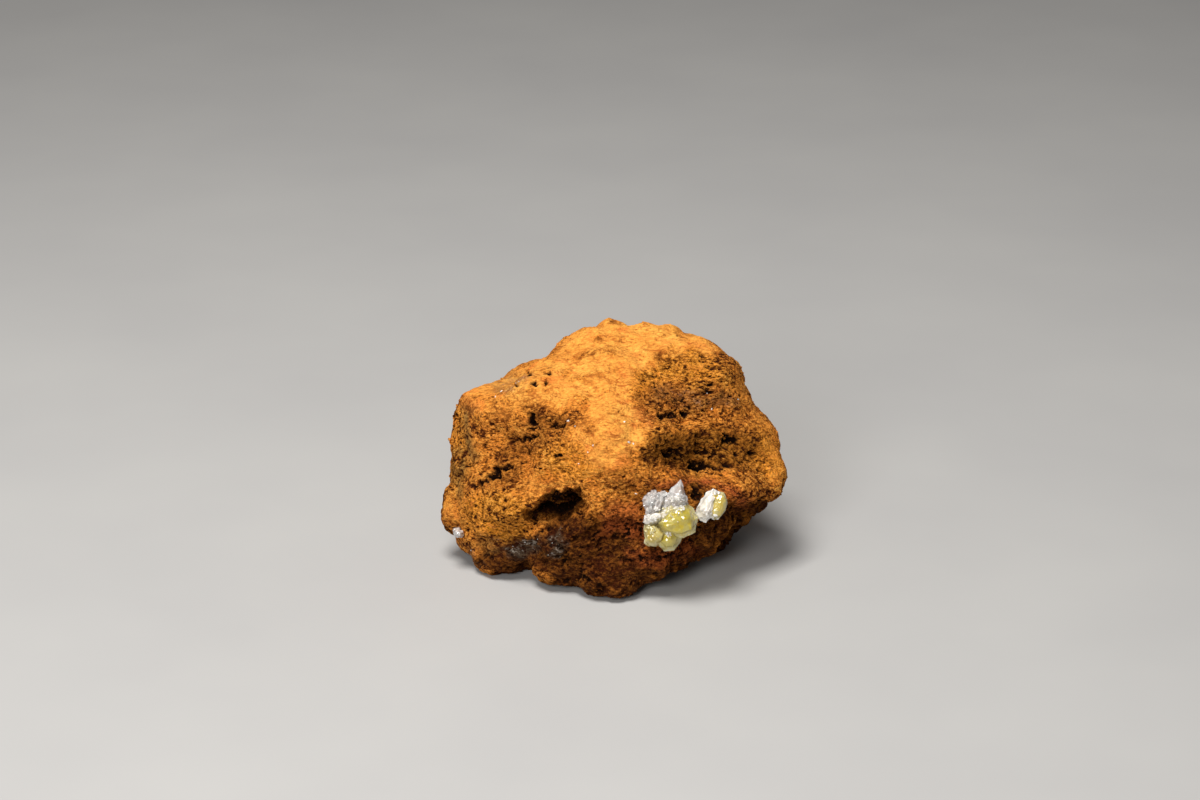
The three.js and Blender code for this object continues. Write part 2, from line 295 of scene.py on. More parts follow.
def bend(wave, place):
    """A wave's height times the sine of its rate times the place, plus its start."""
    height, rate, start = wave
    return height * np.sin(rate * place + start)


def bent_plane(p):
    """The u and v of leaned points, each moved by two slow waves of the other places."""
    u = p[:, 0] + bend(SLOW_BEND, p[:, 1]) + bend(QUICK_BEND, p[:, 2])
    v = p[:, 1] + bend(SLOW_BEND, p[:, 2]) + bend(QUICK_BEND, p[:, 0])
    return u, v


def patch(p, mid_u, mid_v, half_u, half_v, turn, steepness):
    """A turned elliptical bell on the front, by the bent u and v, faded out behind w = 0."""
    u, v = bent_plane(p)
    a = math.radians(turn)
    along = ((u - mid_u) * math.cos(a) + (v - mid_v) * math.sin(a)) / half_u
    across = ((v - mid_v) * math.cos(a) - (u - mid_u) * math.sin(a)) / half_v
    fade = np.clip(p[:, 2] / FRONT_FADE, 0, 1)
    return fade * bell(along**2 + across**2, steepness)


print("lumps and dents: %d, ledges and hollows: %d" % (len(LUMPS), len(FRONT_RELIEF)))

# %% [markdown]
# Slow weathering waves finish the form that the CAD solid shares. A random noise would need the
# same random numbers in both programs, and sines are the same in all. The sum of sine products
# is lumpy but never repeats, because each size of wave runs in a turned frame and is bent a
# little by the one before it.

# %% Weathering waves and the shared form
WAVE_HEIGHT = 0.32
WAVE_LENGTH = 9
WAVE_SIZES = 3
WAVE_TURN = np.array([[0, 0.8, 0.6], [-0.8, 0.36, -0.48], [-0.6, -0.48, 0.64]])
WAVE_SHRINK = 1.87
WAVE_FALL = 0.5
WAVE_BEND = 0.45
WAVE_BEND_RATE = 0.8
WAVE_PEAK = 1.5


def weathering(p):
    """Sum over wave sizes of sin x cos y + sin y cos z + sin z cos x in bent, turned frames."""
    q = p * (2 * math.pi / WAVE_LENGTH)
    total = np.zeros(len(p))
    for i in range(WAVE_SIZES):
        q = q + WAVE_BEND * np.sin(q[:, [2, 0, 1]] * WAVE_BEND_RATE + i)
        s, c = np.sin(q), np.cos(q)
        wave = s[:, 0] * c[:, 1] + s[:, 1] * c[:, 2] + s[:, 2] * c[:, 0]
        total += WAVE_FALL**i * wave / WAVE_PEAK
        q = q @ WAVE_TURN.T * WAVE_SHRINK
    return WAVE_HEIGHT * total


def rock_form(d):
    """Leaned points of the rock along unit directions: soft solid, lumps, relief and waves."""
    p = d * faced_radius(d)[:, None]
    rise = weathering(p)
    for u, v, w, radius, height, steepness in LUMPS.values():
        toward = np.array([[u, v, w]]) / math.hypot(u, v, w)
        middle = toward * faced_radius(toward)[:, None]
        rise += height * bell(((p - middle) ** 2).sum(1) / radius**2, steepness)
    for u, v, half_u, half_v, turn, height, steepness in FRONT_RELIEF.values():
        rise += height * patch(p, u, v, half_u, half_v, turn, steepness)
    return p + d * rise[:, None]


waves = weathering(probe)
print("weathering waves: %.2f to %.2f mm" % (waves.min(), waves.max()))

# %% [markdown]
# A grid over the whole rock. A sphere of latitudes and longitudes crowds its points at the
# poles, so the directions come from a cube instead: six square grids of two parameters each,
# pushed out to the sphere. Where the squares meet, equal points are merged, so the skin is
# closed. The directions are drawn towards the front, where the specimen is looked at.

# %% Grid of directions
GRID_STEPS = 128
FRONT_FINENESS = 0.5
MERGE_DIGITS = 6


def cube_grid(steps):
    """Unit directions of six (steps + 1)^2 grids with tangent spacing, and their outward quads."""
    t = np.tan(np.linspace(-math.pi / 4, math.pi / 4, steps + 1))
    s, q = (g.ravel() for g in np.meshgrid(t, t, indexing="ij"))
    one = np.ones_like(s)
    sides = [(one, s, q), (-one, q, s), (q, one, s), (s, -one, q), (s, q, one), (q, s, -one)]
    points = np.concatenate([np.stack(side, axis=1) for side in sides])
    i, j = (g.ravel() for g in np.meshgrid(np.arange(steps), np.arange(steps), indexing="ij"))
    corner = i * (steps + 1) + j
    quad = np.stack([corner, corner + steps + 1, corner + steps + 2, corner + 1], axis=1)
    quads = np.concatenate([quad + n * (steps + 1) ** 2 for n in range(6)])
    rounded = np.round(points, MERGE_DIGITS)
    _, first, back = np.unique(rounded, axis=0, return_index=True, return_inverse=True)
    points = points[first]
    return points / np.linalg.norm(points, axis=1, keepdims=True), back.ravel()[quads]


directions, rock_quads = cube_grid(GRID_STEPS)
directions[:, 2] += FRONT_FINENESS
directions /= np.linalg.norm(directions, axis=1, keepdims=True)
form = rock_form(directions)
print("rock grid: %d points, %d quads" % (len(directions), len(rock_quads)))

# %% [markdown]
# The finer relief is pushed along the surface's own normal, not along the direction from the
# middle, or pits in a slanting face would come out skewed. A point's normal is the sum of the
# normals of the quads round it.


# %% Normals of a grid
def normals_of(points, quads):
    """Unit normal at each point: cross products of the quads' diagonals, summed at corners."""
    one = points[quads[:, 2]] - points[quads[:, 0]]
    other = points[quads[:, 3]] - points[quads[:, 1]]
    face = np.cross(one, other)
    total = np.stack(
        [
            sum(np.bincount(quads[:, k], face[:, axis], len(points)) for k in range(4))
            for axis in range(3)
        ],
        axis=1,
    )
    return total / np.maximum(np.linalg.norm(total, axis=1, keepdims=True), 1e-12)


form_normals = normals_of(form, rock_quads)
outward = (form_normals * directions).sum(1)
print("normals that face outwards: %.1f %%" % (100 * (outward > 0).mean()))

# %% [markdown]
# Where the surface is what. The real rock has a smooth powdery spine that runs down from the top,
# crumbly porous flanks and two dark bowls on the right. Such zones could be painted on an image,
# but an outline stays sharp at any size. Each is drawn on the rock as the camera sees it, in
# millimetres from the middle of the view. The number before an outline is its strength. The dark
# outlines are partly dark ore and partly painted shade: in the cavity, the bowls and pits, under
# the lip, beside the crystals and over the lower front, which faces down.

# %% Outlines of powder and dark
CAMERA_DISTANCE = 333.3
VIEW_MIDDLE = (-1.1, 5.9)
POWDER = {
    "top and spine": (1, [
        (-4.4, 5.8), (-1.9, 7.5), (0.9, 8.5), (6, 8.1), (10, 7.1), (12.4, 4.8), (11.2, 4.3),
        (9.4, 4.9), (5.7, 3.7), (3.7, 2.7), (3.2, 0.5), (4, -1), (5, -1.8), (4.8, -3.2), (3.8, -4.6),
        (2.8, -6.2), (1.2, -6.8), (-0.4, -6.2), (-2, -4.6), (-3.4, -4), (-1.5, -2.5), (-1.2, -0.8),
        (-2.5, 0.2), (-4.4, 0.2), (-5.3, 1.2), (-4.7, 3.6)]),
    "upper left slope": (0.85, [
        (-14.5, 0.8), (-11.5, 2.3), (-8, 3.6), (-5.5, 5), (-4.6, 3.4), (-5.4, 1), (-8, 0.4),
        (-11, 0.3), (-13.5, -0.6)]),
    "left of the spine": (0.8, [
        (-8.5, 0.6), (-5, 1.6), (-4, 0.4), (-2, -0.8), (-3, -1.6), (-5.6, -0.7), (-8.5, -0.4)]),
    "lower spine": (0.25, [
        (-3.4, -4), (-0.4, -5.5), (2.8, -5.5), (4.5, -6.5), (5, -8.2), (4, -10), (4.3, -11.8),
        (1.5, -11.7), (-0.6, -11), (-1.6, -9.8), (-1.7, -8.6), (-3, -8), (-4.8, -7.8), (-5, -6.2)]),
    "cheek above the cavity": (0.5, [
        (-8.7, -7.8), (-7, -7), (-5, -7.5), (-2.5, -8.6), (-4, -9.4), (-5.5, -9.7), (-7.5, -9.6),
        (-8.7, -9)]),
    "upper left cheek": (0.65, [
        (-13.2, 0.2), (-11, 0.5), (-8, -0.3), (-7.5, -1.2), (-9.5, -2), (-12, -1.8), (-13.4, -1)]),
    "knob": (0.6, [
        (-16.2, -10.6), (-15.3, -9.6), (-14.2, -10), (-13.8, -11.5), (-14.5, -12.6), (-15.9, -12)]),
    "right rim": (0.5, [
        (13.7, 3.4), (15.1, 1.2), (16.4, -0.9), (17.9, -4), (18.6, -7.5), (17.8, -9), (16.8, -7),
        (16.2, -4), (14.8, -1.2), (13.6, 1)]),
    "lip": (0.25, [
        (5, -7.2), (10, -7.4), (14, -7.6), (17.5, -8), (18, -9), (15, -9.2), (12, -8.6), (9, -8.2),
        (5.5, -8.6)]),
    "middle ledge": (0.2, [
        (5.5, -2), (9, -2.2), (14.5, -1.5), (15.7, -2.8), (12, -2.8), (9, -3.1), (6.5, -3.2)]),
}
# Dark ore and painted shade: hollows, the lip's underside and the lower front are painted dark.
DARK_AND_SHADE = {
    "upper bowl": (0.12, [
        (3.8, 2.7), (5.7, 3.6), (8.5, 4.3), (9.4, 4.7), (10.9, 4.3), (12.1, 3.4), (13.3, 2.6),
        (14.5, 1), (13.9, -0.2), (11.9, -0.9), (9.2, -1.4), (6.3, -2), (5.2, -1.1), (4, -0.8),
        (3.3, 0), (3.6, 1.2)]),
    "upper bowl floor": (0.35, [
        (3.6, 0.8), (5.2, 1.4), (10, 1.5), (14.5, 0.8), (13.9, -0.2), (11.9, -0.9), (9.2, -1.4),
        (6.3, -2), (5.2, -1.1), (3.8, -0.5)]),
    "lower bowl": (0.7, [
        (3.9, -5), (5.2, -3.7), (6.7, -3.2), (9.7, -3.1), (11.6, -2.9), (13.3, -2.4), (15.8, -4.1),
        (16.3, -5.8), (15.2, -6.9), (12.1, -7.1), (9.7, -7.3), (6, -7.1), (4, -6.1)]),
    "cavity": (1, [
        (-7.4, -11.3), (-6.2, -10.3), (-5, -9.6), (-3.2, -9.1), (-2, -9.1), (-1.9, -10), (-2.4, -11.2),
        (-3.6, -12.1), (-4.7, -11.9), (-5.5, -11.5), (-7, -11.9)]),
    "left of the crystals": (0.9, [
        (-0.6, -11.8), (4.5, -12.2), (4.5, -14.8), (2, -15.2), (-0.2, -14.5), (-1.2, -13.2)]),
    "under the lip": (0.9, [
        (10, -10.7), (12.6, -10.6), (14.5, -10.3), (16.2, -10), (17.5, -10.5), (14.5, -12.5),
        (13.1, -14), (11.3, -16.2), (9, -16.8), (7.2, -17.2), (6.8, -15.2), (9, -13.5), (10, -12)]),
    "lower front": (1, [
        (-6, -12), (-1, -11.5), (-0.4, -13), (4, -15), (9, -14), (9, -17), (4, -19), (0.6, -20.3),
        (-4, -19), (-6, -17), (-9.5, -18), (-13, -16), (-10, -14.5), (-5.5, -13)]),
    "rows of pores": (0.55, [
        (-12.2, -8.4), (-10.8, -6), (-9, -3.4), (-5.5, -3), (-5.2, -4.6), (-7, -5.6), (-8, -7.8),
        (-9.5, -8.3)]),
    "recess": (0.6, [
        (-7.4, -1.1), (-6, -1), (-4, -1.8), (-2.8, -2), (-3.4, -3.2), (-5.5, -3.4), (-7.2, -2.8)]),
    "between the crystals": (0.8, [
        (8.4, -8.6), (10.4, -8.4), (10.8, -9.2), (10.2, -10.8), (9, -11), (8.4, -10)]),
}
print("powdery places: %d, dark places: %d" % (len(POWDER), len(DARK_AND_SHADE)))

# %% [markdown]
# Thin colours over the rust. Ochre is limonite of a yellower kind. Round the crystals lies a red
# stain, near the bottom and on the top grey films, and down the left side run olive streaks. The
# olive is also painted shade, on the left side that turns from the lamp and on the left foot near
# the floor. They are drawn in the same way, so one function can turn every outline into a share.

# %% Outlines of the thin colours
OCHRE = {
    "left low": (1, [
        (-13.8, -10), (-10, -8.8), (-7, -10), (-7, -12.5), (-8, -14.5), (-10.5, -14), (-12.8, -13),
        (-13.8, -11.5)]),
    "left side": (0.8, [
        (-14.8, -0.5), (-13.4, -1.5), (-13, -5), (-13.4, -8), (-14.2, -9.5), (-15.2, -8), (-14.8, -5)]),
    "upper bowl top": (1, [
        (3.6, 2.7), (5.7, 3.7), (9.4, 4.8), (12, 3.4), (13.6, 1.8), (10, 1.7), (5.5, 1.6), (3.4, 0.8)]),
    "lower bowl": (0.8, [
        (3.9, -5), (5.2, -3.7), (6.7, -3.2), (11.6, -2.9), (15.8, -4.1), (16.3, -5.8), (15.2, -6.9),
        (9.7, -7.3), (4, -6.1)]),
    "right end": (0.8, [(15.7, -3), (17.8, -4), (18.6, -7.5), (17.2, -8), (15, -7), (15.2, -4.5)]),
    "left of the spine": (0.8, [(-4, -4), (-1.5, -4.8), (0, -7), (-1.5, -8.5), (-5, -7), (-6, -5.5)]),
}
STAIN = {
    "lip": (1, [
        (5.2, -8.4), (7.5, -8.1), (9, -7.9), (10.6, -7.9), (12.8, -8.8), (14.7, -9.6), (14.5, -10.7),
        (12.8, -10.4), (11.8, -9.2), (10, -8.7), (8.6, -8.6), (7.6, -9.4), (5.5, -9.2)]),
    "left of the crystals": (0.7, [
        (1, -10.5), (4.3, -10.3), (4.5, -14.5), (2.5, -14.5), (0, -13.5), (0, -11.5)]),
    "spine": (0.5, [(4, -0.8), (5.6, -1.4), (5.4, -2.8), (4, -2.6), (3, -1.5)]),
    "under the crystals": (0.5, [(4, -14.8), (9, -14), (10, -15.5), (5, -17), (2, -16)]),
    "upper left corner": (0.4, [(-13.6, 0.4), (-12, 0), (-12.2, -1.2), (-13.6, -1.2)]),
}
FILM = {
    "bottom left": (1, [
        (-10.3, -14), (-8.5, -14.3), (-6.3, -13.8), (-6, -14.8), (-7.5, -15.6), (-9.5, -15.3)]),
    "bottom middle": (0.9, [
        (-5.5, -13.7), (-4.2, -13.3), (-3.4, -14.5), (-4, -16), (-5, -15.5), (-5.7, -14.5)]),
    "left edge": (0.8, [(-11.2, -13.6), (-10, -14), (-10, -15), (-11, -14.7)]),
    "left foot": (0.9, [(-13.6, -14.6), (-12.8, -14.8), (-12.1, -16), (-11.4, -16.6), (-12.4, -16.7)]),
    "upper bowl": (0.35, [(4.5, 1.2), (9, 1.4), (13.5, 0.6), (14, -0.3), (10, -0.8), (5.5, -0.4)]),
    "top left": (0.6, [(-11.1, 1.6), (-9, 2.4), (-7, 2.2), (-7.5, 1), (-10, 0.5)]),
}
# Olive tint and painted shade: the left side turns from the lamp, the left foot is near the floor.
OLIVE = {
    "side streak": (0.9, [
        (-13.7, -0.8), (-13, -1.2), (-12.6, -3), (-12.3, -4.5), (-12.5, -6), (-13.2, -6.2),
        (-13.5, -4), (-13.8, -2.5)]),
    "side streak low": (0.8, [
        (-14.6, -5), (-13.9, -4.8), (-13.5, -7), (-13.5, -9.5), (-14.2, -10), (-14.5, -7.5)]),
    "left foot": (0.5, [(-12.5, -13.2), (-10.6, -13.6), (-10, -15.2), (-11.2, -15.6), (-12.4, -14.6)]),
}
print("thin colours in %d places" % sum(map(len, (OCHRE, STAIN, FILM, OLIVE))))

# %% [markdown]
# Each outline is turned into a share from 0 to 1 by its signed distance: a point's distance to
# the nearest side, counted negative outside. Beside each zone stands the width of its soft
# border in millimetres. Noise moves the points a little first, so the borders fray like real
# ones, and wears bare patches into the powder. Behind the silhouette nothing is drawn, and there
# the share follows how far the surface faces up or down, with noise: the dark share there is
# painted shade on faces that turn down, and on every side such faces get more of it.


# %% Shares of the zones
ZONES = {
    "powder": (POWDER, 1.3),
    "dark": (DARK_AND_SHADE, 0.9),
    "ochre": (OCHRE, 1.4),
    "stain": (STAIN, 0.9),
    "film": (FILM, 0.7),
    "olive": (OLIVE, 0.7),
}
BORDER_FRAY = 0.5
FINE_FRAY = 0.3
SEEN_BORDER = 0.2
SEEN_START = 0.3
WEAR = 0.6


def picture(p):
    """Leaned points as the camera sees them, in millimetres from the middle of the view."""
    near = CAMERA_DISTANCE / (CAMERA_DISTANCE - p[:, 2:])
    return (p[:, :2] - VIEW_MIDDLE) * near


def inside_share(at, corners, soft):
    """Signed distance to a closed outline over a soft width: 0 outside, 1 well inside."""
    distance = np.full(len(at), np.inf)
    inside = np.zeros(len(at), bool)
    starts = np.array(corners, float)
    for a, b in zip(starts, np.roll(starts, -1, axis=0)):
        side, off = b - a, at - a
        along = np.clip(off @ side / (side @ side), 0, 1)
        distance = np.minimum(distance, np.linalg.norm(off - along[:, None] * side, axis=1))
        crosses = (a[1] > at[:, 1]) != (b[1] > at[:, 1])
        slope = side[0] / (side[1] or 1)
        inside ^= crosses & (off[:, 0] < off[:, 1] * slope)
    return np.clip(0.5 + np.where(inside, distance, -distance) / soft, 0, 1)


def zone(at, outlines, soft):
    """Share of a zone: one minus the product of what every outline leaves over."""
    left_over = np.ones(len(at))
    for strength, corners in outlines.values():
        left_over *= 1 - strength * inside_share(at, corners, soft)
    return 1 - left_over


def fray(size, octaves, first_seed):
    """Noise for u and v (n, 2) at the form's points, which moves a border in and out."""
    waves = [rough_noise(form, size, octaves, first_seed + k) for k in (0, 4)]
    return np.stack(waves, axis=1)


seen_at = picture(form) + BORDER_FRAY * fray(1.7, 3, 11)
facing = np.clip(form_normals[:, 2] / SEEN_BORDER + SEEN_START, 0, 1)
upward = form_normals @ np.array([0, math.cos(LEAN), math.sin(LEAN)])
mottle = rough_noise(form, 5.0, 3, 31)
# Behind the silhouette the dark share is painted shade on faces that turn down.
hidden_share = {
    "powder": upward + 0.6 * mottle,
    "dark": 0.4 * mottle - upward,
    "ochre": 0.5 - mottle,
    "stain": mottle - 0.7,
    "film": -mottle - 0.7,
    "olive": np.minimum(-mottle - 0.5, 0.6),
}
zones = {
    key: facing * zone(seen_at, *drawn) + (1 - facing) * np.clip(hidden_share[key], 0, 1)
    for key, drawn in ZONES.items()
}
worn = np.clip(rough_noise(form, 1.5, 4, 71, 0.65) - 0.1, 0, 1)
zones["powder"] *= 1 - WEAR * worn
# Painted shade: faces that turn down get more of the dark share everywhere.
zones["dark"] = np.clip(zones["dark"] + 0.5 * np.clip(-upward - 0.25, 0, 1), 0, 1)
print("mean shares:", {key: round(float(share.mean()), 2) for key, share in zones.items()})

# %% [markdown]
# Pits that show. Limonite is a sponge of rusty grains, and most of its pores can lie anywhere.
# The large ones give the rock its face, so they are named and placed one by one: a middle and
# two half sizes in the camera's view, a turn in degrees and a depth.

# %% Named pits
NAMED_PITS = {
    "recess": (-6.6, -2.0, 0.45, 0.7, -10, 1.1),
    "recess tail": (-4.3, -2.6, 1.1, 0.4, 5, 0.6),
    "row top": (-7.3, -3.9, 1.7, 0.35, 12, 0.6),
    "row black": (-10.5, -7.4, 0.9, 0.6, 15, 1.3),
    "row second": (-9.2, -6.7, 0.7, 0.4, 20, 0.9),
    "row left": (-11.6, -8.3, 0.7, 0.4, 25, 0.8),
    "slope one": (-7.2, 2.6, 0.4, 0.2, 5, 0.6),
    "slope two": (-5.2, 2.7, 0.35, 0.25, 0, 0.6),
    "slope three": (-5.4, 1.8, 0.6, 0.2, 45, 0.6),
    "slope four": (-6.6, 1.6, 0.5, 0.22, 0, 0.6),
    "slope five": (-8.6, 1.5, 0.7, 0.16, 5, 0.5),
    "bowl pit": (8.5, -1.3, 0.6, 0.45, 10, 0.9),
    "bowl pit left": (6.7, -1.6, 1.2, 0.4, 5, 0.6),
    "bowl pit right": (11.2, 1.5, 0.5, 0.35, -10, 0.6),
    "bowl pit far left": (5.3, 1.3, 0.5, 0.25, -5, 0.4),
    "top speck": (4.2, 4.2, 0.25, 0.15, 0, 0.25),
    "top speck two": (5.6, 6.1, 0.25, 0.13, 10, 0.25),
    "top speck three": (7.9, 6.5, 0.3, 0.18, -5, 0.3),
    "low bowl left": (6.7, -5.3, 1.1, 0.7, 5, 0.8),
    "low bowl right": (12.7, -4, 0.8, 0.6, -15, 0.8),
    "low bowl floor": (10, -6.7, 1.7, 0.45, -3, 0.9),
    "low bowl far right": (15.2, -5.2, 0.6, 0.3, -20, 0.5),
    "under the cheek": (-4.2, -5.7, 0.5, 0.25, -20, 0.6),
    "between": (9.7, -9.7, 0.6, 0.8, 0, 0.8),
}
PIT_STEEPNESS = 0.8


def pits_at(at, pits):
    """Depth of named elliptical pits: each its depth times a steep bell, the deepest counting."""
    deepest = np.zeros(len(at))
    for x, y, half_x, half_y, turn, depth in pits.values():
        a = math.radians(turn)
        along = ((at[:, 0] - x) * math.cos(a) + (at[:, 1] - y) * math.sin(a)) / half_x
        across = ((at[:, 1] - y) * math.cos(a) - (at[:, 0] - x) * math.sin(a)) / half_y
        deepest = np.maximum(deepest, depth * bell(along**2 + across**2, PIT_STEEPNESS))
    return deepest


frayed_at = picture(form) + FINE_FRAY * fray(0.6, 2, 61)
named_pits = facing * pits_at(frayed_at, NAMED_PITS)
print("named pits: %d, the deepest %.2f mm" % (len(NAMED_PITS), named_pits.max()))

# %% [markdown]
# The crumbly skin. Grains could be a bump in the material alone, but then the rim of the rock
# would be smooth, so they are shape. Four sizes of cell noise make clods and grit, stretched
# along the slope as the layers run. How porous a place is decides how high they stand.

# %% Clods and grit
LAYER_STRETCH = np.array([0.62, 1.05, 0.85])
LAYER_BEND = 0.3
POROUS_USUAL = 0.62
POROUS_SWING = 0.35
POWDER_FILLS = 0.62
DARK_OPENS = 0.4
LEAST_POROUS = 0.04
CLODS = [(2.4, 0.24, 21), (1.2, 0.22, 22), (0.62, 0.19, 23), (0.40, 0.10, 26)]
CLOD_LEVEL = 0.6

bends = [smooth_noise(form + 5, 1.3, 41 + k) for k in range(3)]
bent_form = form + LAYER_BEND * np.stack(bends, axis=1)
layered = bent_form * LAYER_STRETCH
porous = POROUS_USUAL + POROUS_SWING * rough_noise(form, 3.5, 2, 15)
porous = porous - POWDER_FILLS * zones["powder"] + DARK_OPENS * zones["dark"]
porous = np.clip(porous, LEAST_POROUS, 1)
crumbly = 0.35 + 0.65 * porous

rise = np.zeros(len(form))
for size, height, seed in CLODS:
    nearest, luck = cell_noise(layered, size, seed)
    lump = np.sqrt(np.clip(1 - nearest**2, 0, 1)) - CLOD_LEVEL
    rise += height * crumbly * lump * (0.4 + 1.2 * luck)
rise += (0.11 + 0.14 * porous) * rough_noise(bent_form, 1.5, 4, 24, 0.6)
print("clods: %.2f to %.2f mm" % (rise.min(), rise.max()))

# %% [markdown]
# Pores. They open where a rough noise drops below a limit that is higher in porous zones, so
# they are many there and few on the powdery spine. The same noise breaks up the floor of the
# named pits, and the deeper of the two counts.

# %% Pores
PORE_SIZE = 0.5
PORE_DEPTH = 0.34
PORE_LIMIT = -1.2
POROUS_LIMIT = 0.85
PORE_BORDER = 0.35

pore_noise = rough_noise(layered, PORE_SIZE, 3, 51, 0.65)
limit = PORE_LIMIT + POROUS_LIMIT * porous
pores = np.clip((limit - pore_noise) / PORE_BORDER, 0, 1) * crumbly
broken_floor = np.clip(1.2 - pore_noise, 0.45, 1.4)
pit_depth = np.maximum(PORE_DEPTH * pores, named_pits * broken_floor)
rise -= pit_depth
print("fine relief: %.2f to %.2f mm, deepest pit %.2f" % (rise.min(), rise.max(), pit_depth.max()))

# %% [markdown]
# Crests and crevices. The colour makes what stands out paler, with dust and painted light, and
# what lies deep darker, with painted shade, so it needs to know how high a point is beside its
# neighbours. One renderer can tell, but an attribute works in every one. A few rounds of averaging
# over the faces give the mean height around every point. The height above that mean is the crest.


# %% Height beside the neighbours
CREST_ROUNDS = 8
CREST_SCALE = 0.11


def averaged(values, quads, rounds):
    """Values replaced, each round, by the mean over the faces round a point of their means."""
    corners = quads.ravel()
    touching = np.bincount(corners, minlength=len(values))
    for _ in range(rounds):
        face_means = values[quads].mean(axis=1)
        values = np.bincount(corners, np.repeat(face_means, 4), len(values)) / touching
    return values


crest = (rise - averaged(rise, rock_quads, CREST_ROUNDS)) / CREST_SCALE
print("crests over one: %.2f, under minus one: %.2f" % ((crest > 1).mean(), (crest < -1).mean()))

# %% [markdown]
# The deep cavity has sharp upper and right edges and runs in under them. A push along the
# normal can't make an overhang, so inside the outline the surface is moved into the rock and
# up to the right at once. Other places, such as the crystals' nest, are set back in the same
# way, less deep. Each has a soft border, a push u, v, w and an outline. How far a place is
# pushed in also counts as pit depth, so the colour paints shade there. Then the lump is pressed
# flat where it would go through the surface it rests on.

# %% Undercuts, feet and the finished skin
UNDERCUTS = {
    "cavity": (0.7, (0.5, 0.5, -2.6), DARK_AND_SHADE["cavity"][1]),
    "left of the crystals": (0.9, (0.1, 0.5, -0.7), DARK_AND_SHADE["left of the crystals"][1]),
    "between the crystals": (0.6, (0.0, 0.3, -0.7), DARK_AND_SHADE["between the crystals"][1]),
    "crystal nest": (0.8, (0.0, 0.0, -0.7), [
        (4.3, -8.9), (6.8, -8.8), (7.9, -8), (9, -10), (9.2, -13.5), (6.5, -15.2), (4.3, -14.6)]),
    "left side face": (0.9, (0.0, 0.0, -0.9), [
        (-16, 0.5), (-13.4, 0), (-13.2, -3), (-13, -7), (-13.6, -10), (-13.8, -13), (-15, -14),
        (-16.4, -12), (-16, -8)]),
    "side nest": (0.6, (0.0, 0.0, -0.4), [
        (9.4, -11), (10.5, -9.1), (12, -9), (12.9, -10.5), (12, -12), (10, -12.2)]),
    "under the lip": (0.9, (-0.2, 0.5, -0.4), DARK_AND_SHADE["under the lip"][1]),
}
UNDERCUT_SHADE = 0.13


def rest_flat(points):
    """Upright points with none below the resting plane z = 0."""
    out = points.copy()
    out[:, 2] = np.maximum(out[:, 2], 0)
    return out


skin = form + form_normals * rise[:, None]
for soft, push, corners in UNDERCUTS.values():
    share = facing * inside_share(frayed_at, corners, soft)
    skin += share[:, None] * np.array(push)
    # Painted shade: pushed-in places count as pits and are coloured darker.
    pit_depth = np.maximum(pit_depth, -UNDERCUT_SHADE * push[2] * share)
skin_normals = normals_of(skin, rock_quads)
rock_points = rest_flat(upright(skin))
print("skin box in mm:", rock_points.min(0).round(2), rock_points.max(0).round(2))

# %% [markdown]
# From arrays to a Blender mesh. foreach_set copies whole arrays, which is far quicker than
# adding points one by one. The zones go along as point attributes that the material reads, and
# so do how deep a pit is, which the material turns into painted shade, how porous a place is and
# how far it stands out.

# %% Mesh builder
FULL_PIT = 0.35
CREST_MIDDLE = 0.5
CREST_GAIN = 0.25


def make_piece(name, points_mm, faces, smooth=True, attributes=None):
    """Object at the origin whose mesh has the points in metres, the faces and the attributes."""
    mesh = bpy.data.meshes.new(name)
    corners = faces.shape[1]
    mesh.vertices.add(len(points_mm))
    mesh.vertices.foreach_set("co", (points_mm * MM).astype(np.float32).ravel())
    mesh.loops.add(faces.size)
    mesh.loops.foreach_set("vertex_index", faces.astype(np.int32).ravel())
    mesh.polygons.add(len(faces))
    mesh.polygons.foreach_set("loop_start", np.arange(0, faces.size, corners, dtype=np.int32))
    mesh.polygons.foreach_set("use_smooth", np.full(len(faces), smooth))
    for key, values in (attributes or {}).items():
        layer = mesh.attributes.new(key, "FLOAT", "POINT")
        layer.data.foreach_set("value", values.astype(np.float32))
    mesh.update(calc_edges=True)
    mesh.validate()
    piece = bpy.data.objects.new(name, mesh)
    bpy.context.scene.collection.objects.link(piece)
    print("%s: %d points, %d faces" % (name, len(points_mm), len(faces)))
    return piece


# Pit depth as a share: the material paints shade by it.
zones["pit"] = np.clip(pit_depth / FULL_PIT, 0, 1)
zones["porous"] = porous
zones["crest"] = np.clip(CREST_MIDDLE + CREST_GAIN * crest, 0, 1)
rock = make_piece("limonite_skin", rock_points, rock_quads, True, zones)
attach(rock, "root")
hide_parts("limonite_matrix")

# %% [markdown]
# Loose grit. Even a fine skin is too smooth at the rim, where crumbs stand out against the
# light. Copies of one object could be scattered, but joined meshes from arrays travel better.
# One grain is a twenty-sided ball, because few faces are enough at that size.

# %% Shape of a grain
def twenty_sided():
    """The 12 corners and 20 outward triangles of a regular twenty-sided ball of radius 1."""
    g = (1 + math.sqrt(5)) / 2
    corners = np.array(
        [(-1, g, 0), (1, g, 0), (-1, -g, 0), (1, -g, 0), (0, -1, g), (0, 1, g),
         (0, -1, -g), (0, 1, -g), (g, 0, -1), (g, 0, 1), (-g, 0, -1), (-g, 0, 1)]
    )
    faces = np.array(
        [(0, 11, 5), (0, 5, 1), (0, 1, 7), (0, 7, 10), (0, 10, 11), (1, 5, 9), (5, 11, 4),
         (11, 10, 2), (10, 7, 6), (7, 1, 8), (3, 9, 4), (3, 4, 2), (3, 2, 6), (3, 6, 8),
         (3, 8, 9), (4, 9, 5), (2, 4, 11), (6, 2, 10), (8, 6, 7), (9, 8, 1)]
    )
    return corners / np.linalg.norm(corners, axis=1, keepdims=True), faces


grain_corners, grain_faces = twenty_sided()
print("a grain has %d corners and %d faces" % (len(grain_corners), len(grain_faces)))

